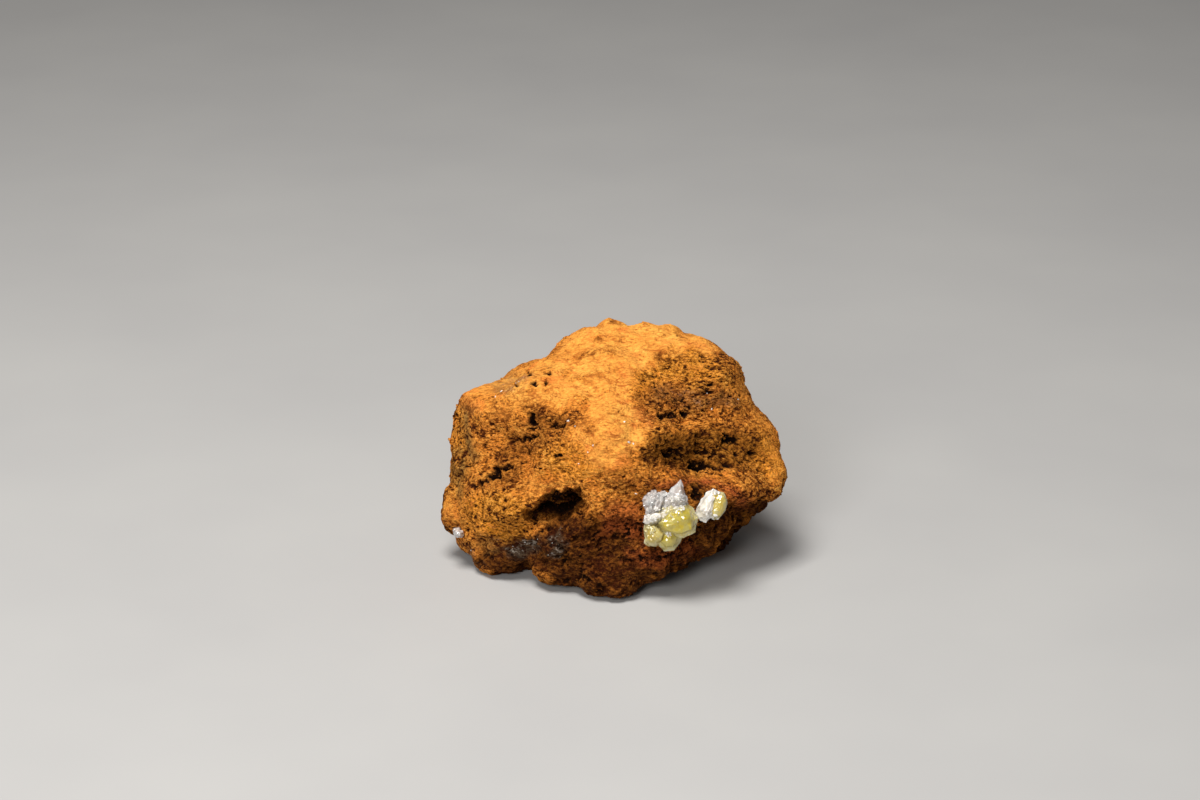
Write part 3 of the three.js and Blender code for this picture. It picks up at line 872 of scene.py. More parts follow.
# %% [markdown]
# Thousands of grains. The one grain is repeated by array arithmetic, each time turned, stretched
# and dented differently, so no two look alike.


# %% Scattered grains
DENTS = (0.7, 1.15)
STRETCH = (0.7, 1.2)


def random_turns(count, random):
    """Rotation matrices (count, 3, 3) from random unit quaternions."""
    q = random.normal(size=(4, count))
    w, x, y, z = q / np.linalg.norm(q, axis=0)
    rows = [
        [1 - 2 * (y * y + z * z), 2 * (x * y - z * w), 2 * (x * z + y * w)],
        [2 * (x * y + z * w), 1 - 2 * (x * x + z * z), 2 * (y * z - x * w)],
        [2 * (x * z - y * w), 2 * (y * z + x * w), 1 - 2 * (x * x + y * y)],
    ]
    return np.array(rows).transpose(2, 0, 1)


def scatter(places, sizes, random):
    """Points and triangles of dented, turned grains: corners x size, turned, moved to places."""
    count, around = len(places), len(grain_corners)
    dents = random.uniform(*DENTS, (count, around, 1))
    stretch = random.uniform(*STRETCH, (count, 1, 3))
    body = grain_corners[None] * dents * stretch * sizes[:, None, None]
    turned = np.einsum("nij,nkj->nki", random_turns(count, random), body)
    points = (turned + places[:, None]).reshape(-1, 3)
    triangles = (grain_faces[None] + around * np.arange(count)[:, None, None]).reshape(-1, 3)
    return points, triangles


trial_points, trial_faces = scatter(np.zeros((5, 3)), np.ones(5), np.random.default_rng(0))
print("five grains have %d corners and %d faces" % (len(trial_points), len(trial_faces)))

# %% [markdown]
# Grit and dust. The grains are set half into the skin, more of them where it is porous and on
# the side that is seen. Small ones are far more common than large ones, as in any crushed rock.
# Each takes over the zones of its place, so it has the colour of the ground it lies on.

# %% Grit and dust
GRAIN_COUNT = 9000
GRAIN_RARITY = 2.5
GRAIN_SINK = 0.35
GRAIN_PIT_SHARE = 0.5
FLOOR_GAP = 0.3


def grain_piece(name, likely, smallest, largest, seed):
    """One piece of grains set half into the skin at points picked by how likely they are."""
    random = np.random.default_rng(seed)
    chosen = random.choice(len(skin), GRAIN_COUNT, replace=False, p=likely / likely.sum())
    sizes = smallest + (largest - smallest) * random.random(GRAIN_COUNT) ** GRAIN_RARITY
    places = skin[chosen] - GRAIN_SINK * sizes[:, None] * skin_normals[chosen]
    points, triangles = scatter(places, sizes, random)
    shares = {key: np.repeat(values[chosen], len(grain_corners)) for key, values in zones.items()}
    # Grains take half the painted shade of the pit they lie in.
    shares["pit"] = shares["pit"] * GRAIN_PIT_SHARE
    piece = make_piece(name, rest_flat(upright(points)), triangles, False, shares)
    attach(piece, "root")
    return piece


clear_of_floor = rock_points[:, 2] > FLOOR_GAP
coarse = (0.15 + porous) * (0.5 + facing) * clear_of_floor
fine = (0.1 + porous**2) * (0.1 + facing) * clear_of_floor
grit = grain_piece("limonite_grit", coarse, 0.07, 0.2, 7)
dust = grain_piece("limonite_dust", fine, 0.05, 0.13, 8)

# %% [markdown]
# Crystals. Adamite grows as stubby flat-faced prisms. Perfect ones could be cut from planes, but
# these are broken and grown into each other, so each is carried along one axis like a loft.
# Its outline in u and v is nearly the CAD solid's. The girdle and the front say how far out in w
# its widest place and its front face lie. The share is the front face's size beside the outline,
# and slope and shift say how that face leans and moves sideways. Ribs give the growth lines'
# direction in degrees, their spacing and their height.

# %% Outlines of the main group
CLUSTER = {
    "left hump": dict(
        outline=[(3.1, -3.7), (3.5, -3.1), (4.2, -2.85), (5.1, -3.0), (5.6, -4.1), (4.7, -5.4),
                 (3.4, -5.3)],
        girdle=9.9, front=10.7, share=0.62, slope=(0.1, -0.25), look="clear",
        ribs=(78, 0.42, 0.16), shift=(-0.1, 0.1)),
    "middle saddle": dict(
        outline=[(4.5, -2.95), (5.4, -3.1), (6.2, -2.8), (6.6, -3.6), (6.3, -4.8), (5.0, -5.2)],
        girdle=9.9, front=10.5, share=0.6, slope=(0.1, -0.3), look="clear",
        ribs=(84, 0.36, 0.13), shift=(0, 0)),
    "upright spike": dict(
        outline=[(5.6, -3.0), (6.2, -2.35), (6.7, -1.8), (6.85, -2.1), (7.1, -3.1), (7.5, -4.2),
                 (6.5, -4.8), (5.5, -4.1)],
        girdle=10, front=11.0, share=0.45, slope=(-0.1, -0.15), look="clear",
        ribs=(68, 0.34, 0.04), shift=(0.1, -0.1)),
    "white band": dict(
        outline=[(3.2, -5.3), (4.3, -4.9), (5.2, -4.9), (5.1, -5.5), (4.4, -6.1), (3.6, -6.2),
                 (3.1, -6)],
        girdle=10, front=10.8, share=0.6, slope=(0.1, 0.2), look="milky",
        ribs=(15, 0.24, 0.05), shift=(0, 0.1)),
    "frosted middle": dict(
        outline=[(4.8, -4.7), (5.9, -4.2), (6.9, -4.3), (6.7, -5.4), (5.8, -5.9), (4.7, -5.7)],
        girdle=10.1, front=10.9, share=0.6, slope=(0, 0.15), look="milky",
        ribs=(20, 0.22, 0.06), shift=(0, 0)),
    "yellow block": dict(
        outline=[(4.4, -6.1), (5.1, -5.1), (6.7, -4.3), (7.4, -4.1), (8, -4.6), (8.4, -5.6),
                 (8.2, -6.9), (7, -7.5), (5.1, -7.1)],
        girdle=9.9, front=11.2, share=0.72, slope=(-0.08, 0.12), look="yellow",
        ribs=(5, 0.5, 0.015), shift=(-0.15, 0.05)),
    "lower left crystal": dict(
        outline=[(3.2, -6.2), (4.1, -6), (4.9, -6.5), (5.3, -7.2), (5.1, -7.9), (4.4, -8.3),
                 (3.6, -8.3), (3.2, -8)],
        girdle=9.4, front=10.4, share=0.68, slope=(0.2, 0.2), look="straw",
        ribs=(-50, 0.42, 0.07), shift=(0, 0.1)),
    "bottom crystal": dict(
        outline=[(4.3, -8), (5, -6.9), (5.9, -6.8), (6.9, -7.4), (6.5, -8.3), (6.1, -8.7),
                 (5.1, -8.8)],
        girdle=9.1, front=10.1, share=0.62, slope=(0, 0.25), look="yellow",
        ribs=(40, 0.6, 0.04), shift=(0, 0.15)),
}
print("crystals of the main group:", ", ".join(CLUSTER))

# %% [markdown]
# Beside the main group stands a smaller one, white on its left and yellow on its right. One
# small white crystal sits alone at the left end of the rock. Both are made in the same way, and
# the lone one has a shorter root, because it only clings to the rock.

# %% Outlines of the side group and the white crystal
SIDE_GROUP = {
    "white blades": dict(
        outline=[(8.1, -5.1), (8.5, -4.2), (9.2, -3.1), (9.9, -2.7), (10.6, -3.1), (10.0, -5.2),
                 (9.2, -6.0), (8.6, -5.8)],
        girdle=9.5, front=10.5, share=0.55, slope=(0, -0.2), look="milky",
        ribs=(60, 0.32, 0.07), shift=(0, 0.1)),
    "yellow ribs": dict(
        outline=[(9.7, -2.8), (10.9, -3.1), (11.3, -3.8), (11.1, -4.8), (10.5, -5.6),
                 (10, -5.8), (9.2, -5)],
        girdle=9.2, front=10.2, share=0.72, slope=(-0.15, -0.1), look="straw",
        ribs=(70, 0.5, 0.025), shift=(0.1, 0)),
}
WHITE_CRYSTAL = {
    "white crystal": dict(
        outline=[(-15.7, -7), (-15.1, -6.8), (-14.7, -7.2), (-14.8, -7.8), (-15.3, -7.9),
                 (-15.7, -7.6)],
        girdle=1.2, front=1.9, share=0.5, slope=(0.3, 0.2), root=1, look="clear",
        ribs=(60, 0.3, 0.03), shift=(0, 0)),
}
print("other crystals:", ", ".join([*SIDE_GROUP, *WHITE_CRYSTAL]))

# %% [markdown]
# Rings of one crystal. They start small at the root in the rock, widen to the girdle, close in
# over the bevels and end in the sloping front face. Their points stand at every corner of the
# outline and evenly in between, so that the bevels come out as flat facets with straight edges.

# %% Loft of one crystal
RING_POINTS = 132
RINGS = {"root": 6, "bevel": 20, "front": 30}
ROOT_DEPTH = 2
ROOT_SHARE = 0.9
TIP_SHARE = 0.02
DOME_SHARE = 0.2


def outline_points(corners, count):
    """Points along a closed outline: every corner, and steps between as even as can be."""
    sides = np.roll(corners, -1, axis=0) - corners
    length = np.linalg.norm(sides, axis=1)
    shares = np.maximum(np.round(length / length.sum() * count), 2).astype(int)
    parts = [
        corner + side * np.linspace(0, 1, n, endpoint=False)[:, None]
        for corner, side, n in zip(corners, sides, shares)
    ]
    return np.concatenate(parts)


def crystal_rings(outline, girdle, front, share, slope, shift, root=ROOT_DEPTH):
    """Leaned points of a crystal as rings (rings, points, 3): share of the outline by depth.

    A ring's points are the middle plus its share of the outline. Shares run from the root to
    1 at the girdle, to the front face's share, and to nothing at the middle of that face. The
    front face is shifted, rises by its slope and is domed a little.
    """
    corners = np.array(outline, float)
    sides = np.roll(corners, -1, axis=0) - corners
    if (corners[:, 0] * sides[:, 1] - corners[:, 1] * sides[:, 0]).sum() < 0:
        corners = corners[::-1]
    middle = corners.mean(0)
    ring = outline_points(corners, RING_POINTS) - middle
    widths = np.concatenate([
        [TIP_SHARE], np.linspace(ROOT_SHARE, 1, RINGS["root"], endpoint=False),
        np.linspace(1, share, RINGS["bevel"], endpoint=False),
        share * np.linspace(1, TIP_SHARE, RINGS["front"])])
    depths = np.concatenate([
        [-root], np.linspace(-root, 0, RINGS["root"], endpoint=False),
        np.linspace(0, front - girdle, RINGS["bevel"], endpoint=False),
        np.full(RINGS["front"], front - girdle)])
    forward = np.clip(depths / (front - girdle), 0, 1)[:, None]
    plane = widths[:, None, None] * ring[None] + forward[:, :, None] * np.array(shift)
    dome = DOME_SHARE * (front - girdle) * (1 - (widths / share) ** 2)[:, None] * (forward == 1)
    lift = forward * (plane @ np.array(slope)) + dome
    return np.concatenate([plane + middle, (girdle + depths[:, None] + lift)[..., None]], axis=2)


def crystal_faces(rings, around):
    """Quads between neighbouring rings, and a fan of quads that closes each end."""
    i, j = (g.ravel() for g in np.meshgrid(np.arange(rings - 1), np.arange(around), indexing="ij"))
    k = (j + 1) % around
    here, there = i * around, (i + 1) * around
    side = np.stack([here + j, here + k, there + k, there + j], axis=1)
    m = np.arange(1, around // 2)
    cap = np.stack([m - 1, m, around - 1 - m, around - m], axis=1) % around
    return np.concatenate([side, cap[:, ::-1], cap + (rings - 1) * around])


print("one crystal has about %d points" % (RING_POINTS * (1 + sum(RINGS.values()))))

# %% [markdown]
# Growth lines and facets. Ridges run across each crystal in its own direction, uneven in height.
# Folds in three more directions cross them. Each fold is a wave of straight flanks, so together
# they leave flat facets with sharp creases, which catch the light one by one like broken glass.
# A noise with round hills would give a melted look instead.

# %% Growth lines and facets
LOOKS = ["clear", "milky", "yellow", "straw"]
FACETS = {"clear": (0.95, 0.15), "milky": (0.8, 0.05), "yellow": (1.3, 0.07), "straw": (1.1, 0.06)}
FOLD_BEND = 0.12
FOLD_BEND_SIZE = 0.8
FOLD_STARTS = np.array([0.1, 0.4, 0.7])
RIB_LEAN = 0.35
RIB_WANDER = 0.5
RIB_CREST = 0.65
RIB_LEVEL = 0.35
RIB_GAIN = 1.2
CHIP_LIMIT = 0.55
CHIP_DEPTH = 0.08


def folds(points, size, height, seed):
    """Sum of three waves with straight flanks, in three random directions, bent a little."""
    directions = np.random.default_rng(seed).normal(size=(3, 3))
    directions /= np.linalg.norm(directions, axis=1, keepdims=True)
    bend = smooth_noise(points, FOLD_BEND_SIZE * size, seed)
    bent = points + FOLD_BEND * size * bend[:, None]
    place = bent @ directions.T / size + FOLD_STARTS
    return height * (2 * np.abs(place % 1 - 0.5) - 0.5).sum(axis=1)


def growth(points, ribs, look, seed):
    """Height along the normal: ridges in the ribs' direction, facets and chipped spots."""
    angle, spacing, height = ribs
    a = math.radians(angle)
    across = points @ np.array([-math.sin(a), math.cos(a), RIB_LEAN])
    place = across / spacing + RIB_WANDER * smooth_noise(points, 1.1, seed)
    strength = 0.5 + hashed(np.floor(place)[:, None] * np.ones(3), seed + 3)
    ridge = np.abs((place % 1) - RIB_CREST) * strength
    facets = folds(points, *FACETS[look], seed + 9)
    chips = np.clip(rough_noise(points, 0.5, 2, seed + 5) - CHIP_LIMIT, 0, 1)
    return RIB_GAIN * height * (RIB_LEVEL - ridge) + facets - CHIP_DEPTH * chips


print("facet sizes and heights in mm:", FACETS)

# %% [markdown]
# Small crystals. Frost on the real group is a crowd of prisms a tenth of a millimetre wide. They
# are seen as sparkle, so a six-sided prism with blunt tips is enough for each.

# %% Small prisms
PRISM_SIDES = 6
PRISM_FLATNESS = 0.7
PRISM_WIDTHS = np.array([0.3, 0.9, 1.0, 0.25])
PRISM_PLACES = np.array([-1.5, -0.9, 0.8, 1.4])


def small_prisms(places, sizes, random):
    """Rings of six-sided prisms with blunt tips, stretched, turned at random, moved to places."""
    rings = len(PRISM_PLACES)
    a = np.arange(PRISM_SIDES) * math.pi / 3
    ring = np.stack([np.cos(a), PRISM_FLATNESS * np.sin(a)], axis=1)
    along = np.broadcast_to(PRISM_PLACES[:, None, None], (rings, PRISM_SIDES, 1))
    body = np.concatenate([PRISM_WIDTHS[:, None, None] * ring[None], along], axis=2).reshape(-1, 3)
    turned = np.einsum("nij,kj->nki", random_turns(len(places), random), body)
    points = (turned * sizes[:, None, None] + places[:, None]).reshape(-1, 3)
    starts = len(body) * np.arange(len(places))[:, None, None]
    return points, (crystal_faces(rings, PRISM_SIDES)[None] + starts).reshape(-1, 4)


trial_points, trial_faces = small_prisms(np.zeros((5, 3)), np.ones(5), np.random.default_rng(0))
print("five prisms have %d points and %d faces" % (len(trial_points), len(trial_faces)))

# %% [markdown]
# Where the frost lies. Each frosted spot has a middle and two half sizes in u and v, a count of
# prisms and their finish. A place for a small prism is a point of the large crystals, picked
# more often the nearer it is to the spot, and only on the side that is seen.

# %% Frost
FROST = {
    "frosted band": (5.6, -4.8, 1.4, 0.6, 70, "straw"),
    "block's upper edge": (6.9, -4.5, 0.9, 0.35, 30, "milky"),
    "block's face": (5.8, -5.4, 1.0, 0.6, 24, "straw"),
    "spike's side": (6.8, -3.9, 0.5, 0.7, 18, "clear"),
    "spike's foot": (6.2, -3.7, 0.6, 0.45, 34, "milky"),
    "hump's streak": (4.2, -4.6, 0.9, 0.25, 14, "milky"),
    "hump's crest": (4.4, -3.3, 1.4, 0.5, 44, "clear"),
    "hump's side": (3.6, -4.4, 0.7, 0.9, 34, "clear"),
    "white band": (4.1, -5.6, 0.9, 0.4, 26, "milky"),
    "bottom gleam": (5.6, -7.1, 0.6, 0.25, 16, "milky"),
    "lower left crest": (4.0, -6.6, 0.8, 0.5, 16, "straw"),
    "side group's foot": (9.8, -5.4, 0.8, 0.5, 24, "milky"),
    "side group's crest": (9.7, -3.1, 0.7, 0.4, 18, "milky"),
}
PRISM_SIZES = (0.05, 0.16)
FROST_FACING = 0.15


def frost(crests, facing_out, random):
    """Points and faces of the prisms on crests near each frosted spot, and the spot's finish."""
    for u, v, half_u, half_v, count, look in FROST.values():
        near = bell(((crests[:, 0] - u) / half_u) ** 2 + ((crests[:, 1] - v) / half_v) ** 2, 1)
        near = near * (facing_out > FROST_FACING)
        if near.sum() > 0:
            picked = random.choice(len(crests), count, p=near / near.sum())
            sizes = random.uniform(*PRISM_SIZES, count)
            yield *small_prisms(crests[picked], sizes, random), look


print("frosted spots:", len(FROST))

# %% [markdown]
# One piece is several crystals grown together, with their frost. Joined by booleans they would
# lose their fine grids, and clear crystals look right where they overlap, so they stay whole and
# pass into each other. Each face remembers which finish it has, and each point how far it lies
# out on the rim, which the colour makes paler: partly frost, partly painted light in thin edges.

# %% Groups of crystals
RIM_REACH = 1.1
SEED_STEP = 31
CREASE_DEGREES = 22


def rim_share(rings):
    """For each ring 1 up to the girdle, falling to nothing where the front face begins."""
    ring = np.arange(rings) - (1 + RINGS["root"])
    return np.clip(RIM_REACH - ring / RINGS["bevel"], 0, 1)


def grown_crystal(crystal, seed):
    """A crystal's points, faces, normals' w and rim shares: the loft moved by its growth."""
    shape = {key: value for key, value in crystal.items() if key not in ("look", "ribs")}
    grid = crystal_rings(**shape)
    faces = crystal_faces(*grid.shape[:2])
    points = grid.reshape(-1, 3)
    normals = normals_of(points, faces)
    height = growth(points, crystal["ribs"], crystal["look"], seed)
    rims = np.repeat(rim_share(len(grid)), grid.shape[1])
    return points + normals * height[:, None], faces, normals[:, 2], rims


def crystal_group(name, crystals, node, first_seed):
    """One piece of lofted crystals and frost, each face marked with its crystal's finish."""
    parts, facing_out = [], []
    for n, crystal in enumerate(crystals.values()):
        points, faces, normal_w, rims = grown_crystal(crystal, first_seed + SEED_STEP * n)
        parts.append((points, faces, crystal["look"], rims))
        facing_out.append(normal_w)
    crests = np.concatenate([part[0] for part in parts])
    random = np.random.default_rng(first_seed)
    for points, faces, look in frost(crests, np.concatenate(facing_out), random):
        parts.append((points, faces, look, np.ones(len(points))))
    all_points, all_faces, looks, rims = zip(*parts)
    starts = np.cumsum([0] + [len(points) for points in all_points])
    faces = np.concatenate([faces + start for faces, start in zip(all_faces, starts)])
    finish = [np.full(len(faces), LOOKS.index(look)) for faces, look in zip(all_faces, looks)]
    rim = {"rim": np.concatenate(rims)}
    piece = make_piece(name, upright(np.concatenate(all_points)), faces, True, rim)
    piece.data.set_sharp_from_angle(angle=math.radians(CREASE_DEGREES))
    for look in LOOKS:
        piece.data.materials.append(crystal_materials[look])
    piece.data.polygons.foreach_set("material_index", np.concatenate(finish).astype(np.int32))
    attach(piece, "root")
    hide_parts(node)
    return piece


ring_count = 1 + sum(RINGS.values())
print("of %d rings, %d lie on the rim" % (ring_count, (rim_share(ring_count) > 0).sum()))

# %% [markdown]
# Materials are graphs of nodes. Wired by hand each graph would fill a screen, so a few helpers
# keep them short: one adds a node and links its inputs, and others mix two colours or stretch a
# value between two limits.


# %% Node helpers
def add(tree, kind, inputs=None, **settings):
    """A new node with its settings, its inputs linked from sockets or set to values."""
    node = tree.nodes.new(kind)
    for key, value in settings.items():
        setattr(node, key, value)
    for key, value in (inputs or {}).items():
        if isinstance(value, bpy.types.NodeSocket):
            tree.links.new(value, node.inputs[key])
        else:
            node.inputs[key].default_value = value
    return node


def new_material(name):
    """A material with nodes, its tree and its one Principled shader."""
    material = bpy.data.materials.new(name)
    material.use_nodes = True
    return material, material.node_tree, material.node_tree.nodes["Principled BSDF"]


def mixed(tree, share, first, second, blend="MIX"):
    """Colour that goes from the first to the second by the share."""
    node = add(tree, "ShaderNodeMix", data_type="RGBA", blend_type=blend)
    for index, value in ((0, share), (6, first), (7, second)):
        if isinstance(value, bpy.types.NodeSocket):
            tree.links.new(value, node.inputs[index])
        else:
            node.inputs[index].default_value = value
    return node.outputs[2]


def stretched(tree, value, low, high, to_low=0.0, to_high=1.0):
    """The value taken from low..high to to_low..to_high, held between them."""
    inputs = {0: value, 1: low, 2: high, 3: to_low, 4: to_high}
    return add(tree, "ShaderNodeMapRange", inputs).outputs[0]


def maths(tree, operation, first, second):
    """One step of arithmetic on two values."""
    return add(tree, "ShaderNodeMath", {0: first, 1: second}, operation=operation).outputs[0]


def noise(tree, where, size_mm, detail=4.0, rough=0.6, distortion=0.0):
    """Noise whose features are about size_mm across, from the given coordinates in metres."""
    inputs = {"Vector": where, "Scale": 1 / (size_mm * MM), "Detail": detail,
              "Roughness": rough, "Distortion": distortion}
    return add(tree, "ShaderNodeTexNoise", inputs).outputs["Fac"]


def vector_maths(tree, operation, inputs):
    """One step of arithmetic on vectors."""
    return add(tree, "ShaderNodeVectorMath", inputs, operation=operation).outputs[0]


def attribute(tree, name):
    """A point attribute's value."""
    return add(tree, "ShaderNodeAttribute", attribute_name=name).outputs["Fac"]


def object_place(tree):
    """The place on the piece in metres, which moves with the piece and never with the camera."""
    return add(tree, "ShaderNodeTexCoord").outputs["Object"]


def put_bump(tree, shader, **inputs):
    """Fine relief on the shader's normal."""
    bump = add(tree, "ShaderNodeBump", inputs)
    tree.links.new(bump.outputs[0], shader.inputs["Normal"])


print("a noise of one millimetre has the scale %.0f" % (1 / MM))

# %% [markdown]
# Limonite's powder. The real spine and top are covered with pale yellow-orange dust, clouded
# with yellow and mottled with red and brown. One noise for it all would make camouflage, so each
# colour has a noise of its own size, and short wrinkles lie along the layers. The low spots of
# the crumbs, which the bump also lowers, are painted darker as shade.

# %% Powder colours
POWDER_COLOUR = (0.86, 0.37, 0.066, 1)
POWDER_YELLOW = (0.90, 0.44, 0.085, 1)
POWDER_RED = (0.74, 0.225, 0.042, 1)
POWDER_BROWN = (0.54, 0.185, 0.028, 1)
POWDER_WRINKLE_AND_SHADE = (0.44, 0.12, 0.020, 1)
LAID_STRETCH = (0.58, 0.8, 1.05)
WRINKLE_STRETCH = (0.45, 0.8, 1.1)


def stretched_place(tree, place, scale):
    """The place with each axis scaled, so that a pattern read from it lies along the layers."""
    return add(tree, "ShaderNodeMapping", {"Vector": place, "Scale": scale}).outputs[0]


def powder_colours(tree, place, crumb):
    """Pale orange with yellow clouds, red and brown mottles, wrinkles and painted shade in crumbs."""
    cloud = noise(tree, place, 2.8, 4, 0.6, 0.3)
    colour = mixed(tree, stretched(tree, cloud, 0.46, 0.60), POWDER_COLOUR, POWDER_YELLOW)
    blush = noise(tree, place, 1.7, 5, 0.65, 0.5)
    colour = mixed(tree, stretched(tree, blush, 0.52, 0.66, 0, 0.85), colour, POWDER_RED)
    stale = stretched(tree, blush, 0.46, 0.34, 0, 0.8)
    colour = mixed(tree, stale, colour, POWDER_BROWN)
    wrinkle = noise(tree, stretched_place(tree, place, WRINKLE_STRETCH), 0.42, 3, 0.6, 0.8)
    colour = mixed(tree, stretched(tree, wrinkle, 0.43, 0.31, 0, 0.95), colour, POWDER_WRINKLE_AND_SHADE)
    # Painted shade in the low spots of the crumb noise.
    return mixed(tree, stretched(tree, crumb, 0.50, 0.32, 0, 0.7), colour, POWDER_WRINKLE_AND_SHADE)


print("palest powder:", POWDER_YELLOW[:3])

# %% [markdown]
# Rust and shade. Under the powder the ore is rusty orange, yellower where it is ochre, and
# nearly black-brown in the bowls and hollows, partly dark ore and partly painted shade. The brown
# is painted strongest on low grains. There only the highest grains keep some rust and hardly any
# dust, so the dark share is weaker on them and the dusting is held back by how a place stands.

# %% Rust colours
RUST = (0.80, 0.285, 0.036, 1)
RUST_DARK = (0.50, 0.145, 0.017, 1)
OCHRE_COLOUR = (0.78, 0.31, 0.026, 1)
OCHRE_STRENGTH = 0.85
BROWN_AND_SHADE = (0.045, 0.012, 0.0025, 1)


def rust_colours(tree, tone, stands, dark_and_shade_share):
    """Rust of two tones, ochre over it, and brown on the dark zones as ore and painted shade."""
    rust = mixed(tree, stretched(tree, tone, 0.35, 0.62), RUST_DARK, RUST)
    ochre_share = maths(tree, "MULTIPLY", attribute(tree, "ochre"), OCHRE_STRENGTH)
    colour = mixed(tree, ochre_share, rust, OCHRE_COLOUR)
    # Painted shade: low grains in the dark zones take the most brown.
    low_shade = stretched(tree, stands, 0.60, 0.80, 0.98, 0.74)
    return mixed(tree, maths(tree, "MULTIPLY", dark_and_shade_share, low_shade), colour, BROWN_AND_SHADE)


def dusting(tree, stands, powder_share, dark_and_shade_share):
    """Share of powder: the zone's, or dust and painted light on standing grains, less on dark ground.
    """
    # Paler on standing grains: dust and painted light.
    dusted = stretched(tree, stands, 0.61, 0.75, 0, 0.8)
    dusted = maths(tree, "MULTIPLY", dusted, stretched(tree, dark_and_shade_share, 0, 0.95, 1, 0.03))
    return maths(tree, "MAXIMUM", stretched(tree, powder_share, 0.15, 0.9), dusted)


print("darkest brown:", BROWN_AND_SHADE[:3])

# %% [markdown]
# Stain, olive and film. Iron-rich water left a red stain round the crystals, and other minerals
# left olive streaks and a thin grey film that flakes. The olive is dark, partly tint and partly
# painted shade on the side turned from the lamp. All are patchy, because water dries in patches.
# Only the film shines a little, so its share goes to the roughness as well.

# %% Stain, olive and film
RED_STAIN = (0.50, 0.11, 0.032, 1)
OLIVE_AND_SHADE_COLOUR = (0.175, 0.130, 0.045, 1)
FILM_DARK = (0.075, 0.055, 0.038, 1)
FILM_PALE = (0.36, 0.33, 0.29, 1)


def stained(tree, colour, place, tone):
    """The colour with stain, olive (tint and painted shade) and film over it, and the film's share."""
    patchy = stretched(tree, tone, 0.3, 0.6, 0.35, 0.9)
    for key, cover in (("stain", RED_STAIN), ("olive", OLIVE_AND_SHADE_COLOUR)):
        share = maths(tree, "MULTIPLY", attribute(tree, key), patchy)
        colour = mixed(tree, share, colour, cover)
    flakes = noise(tree, place, 0.55, 3, 0.6, 0.9)
    film = mixed(tree, stretched(tree, flakes, 0.55, 0.66), FILM_DARK, FILM_PALE)
    covered = stretched(tree, tone, 0.40, 0.55, 0.15, 0.9)
    film_share = maths(tree, "MULTIPLY", attribute(tree, "film"), covered)
    return mixed(tree, film_share, colour, film), film_share


print("thin covers:", RED_STAIN[:3], OLIVE_AND_SHADE_COLOUR[:3], FILM_PALE[:3])

# %% [markdown]
# Crevices, pinholes and pores. A pore looks black because light that goes in doesn't come out.
# Shape alone can't show the finest ones, so their shade is painted: the colour darkens where
# grains lie low, in fine specks and in every pit, and the powder fills most of the small ones.

# %% Crevices and pores
CREVICE_SHADE = (0.058, 0.012, 0.0025, 1)
# Painted shade of pores and pits.
PORE = (0.012, 0.004, 0.0014, 1)


def with_pore_shade(tree, colour, tone, crumb, speck, stands, rough, powder_share):
    """The colour darkened with painted shade in crevices between clumps, pinholes, pores and pits."""
    clumps = maths(tree, "MULTIPLY", tone, 0.4)
    sunk = stretched(tree, maths(tree, "ADD", stands, clumps), 0.87, 0.73)
    colour = mixed(tree, maths(tree, "MULTIPLY", sunk, rough), colour, CREVICE_SHADE)
    pinholes = maths(tree, "MULTIPLY", stretched(tree, speck, 0.41, 0.30, 0, 0.85), rough)
    colour = mixed(tree, pinholes, colour, CREVICE_SHADE)
    porous = maths(tree, "MULTIPLY", attribute(tree, "porous"), 0.12)
    filled = maths(tree, "MULTIPLY", powder_share, 0.08)
    opened = maths(tree, "ADD", maths(tree, "SUBTRACT", crumb, porous), filled)
    pores = stretched(tree, opened, 0.31, 0.22, 0, 0.9)
    pits = stretched(tree, attribute(tree, "pit"), 0.3, 0.95)
    return mixed(tree, maths(tree, "MAXIMUM", pores, pits), colour, PORE)


print("pores and crevices:", PORE[:3], CREVICE_SHADE[:3])

# %% [markdown]
# The whole limonite material. It starts with the rust, lays powder over it where the zone says
# so and where grains stand up, then the thin covers and the painted shade of crevices, pores and
# pits. A last fine noise makes each grain a little lighter or darker than its neighbour. Earth
# hardly shines, so the gloss is low, and the bump adds the crumbs that are too fine for the mesh.

# %% Limonite material
GRAIN_SHADES = ((0.60, 0.51, 0.43, 1), (1.35, 1.32, 1.25, 1))
EARTH_GLOSS = 0.08
EARTH_ROUGHNESS = 0.95
FILM_ROUGHNESS = 0.72
BUMP_HEIGHT = 0.6 * MM


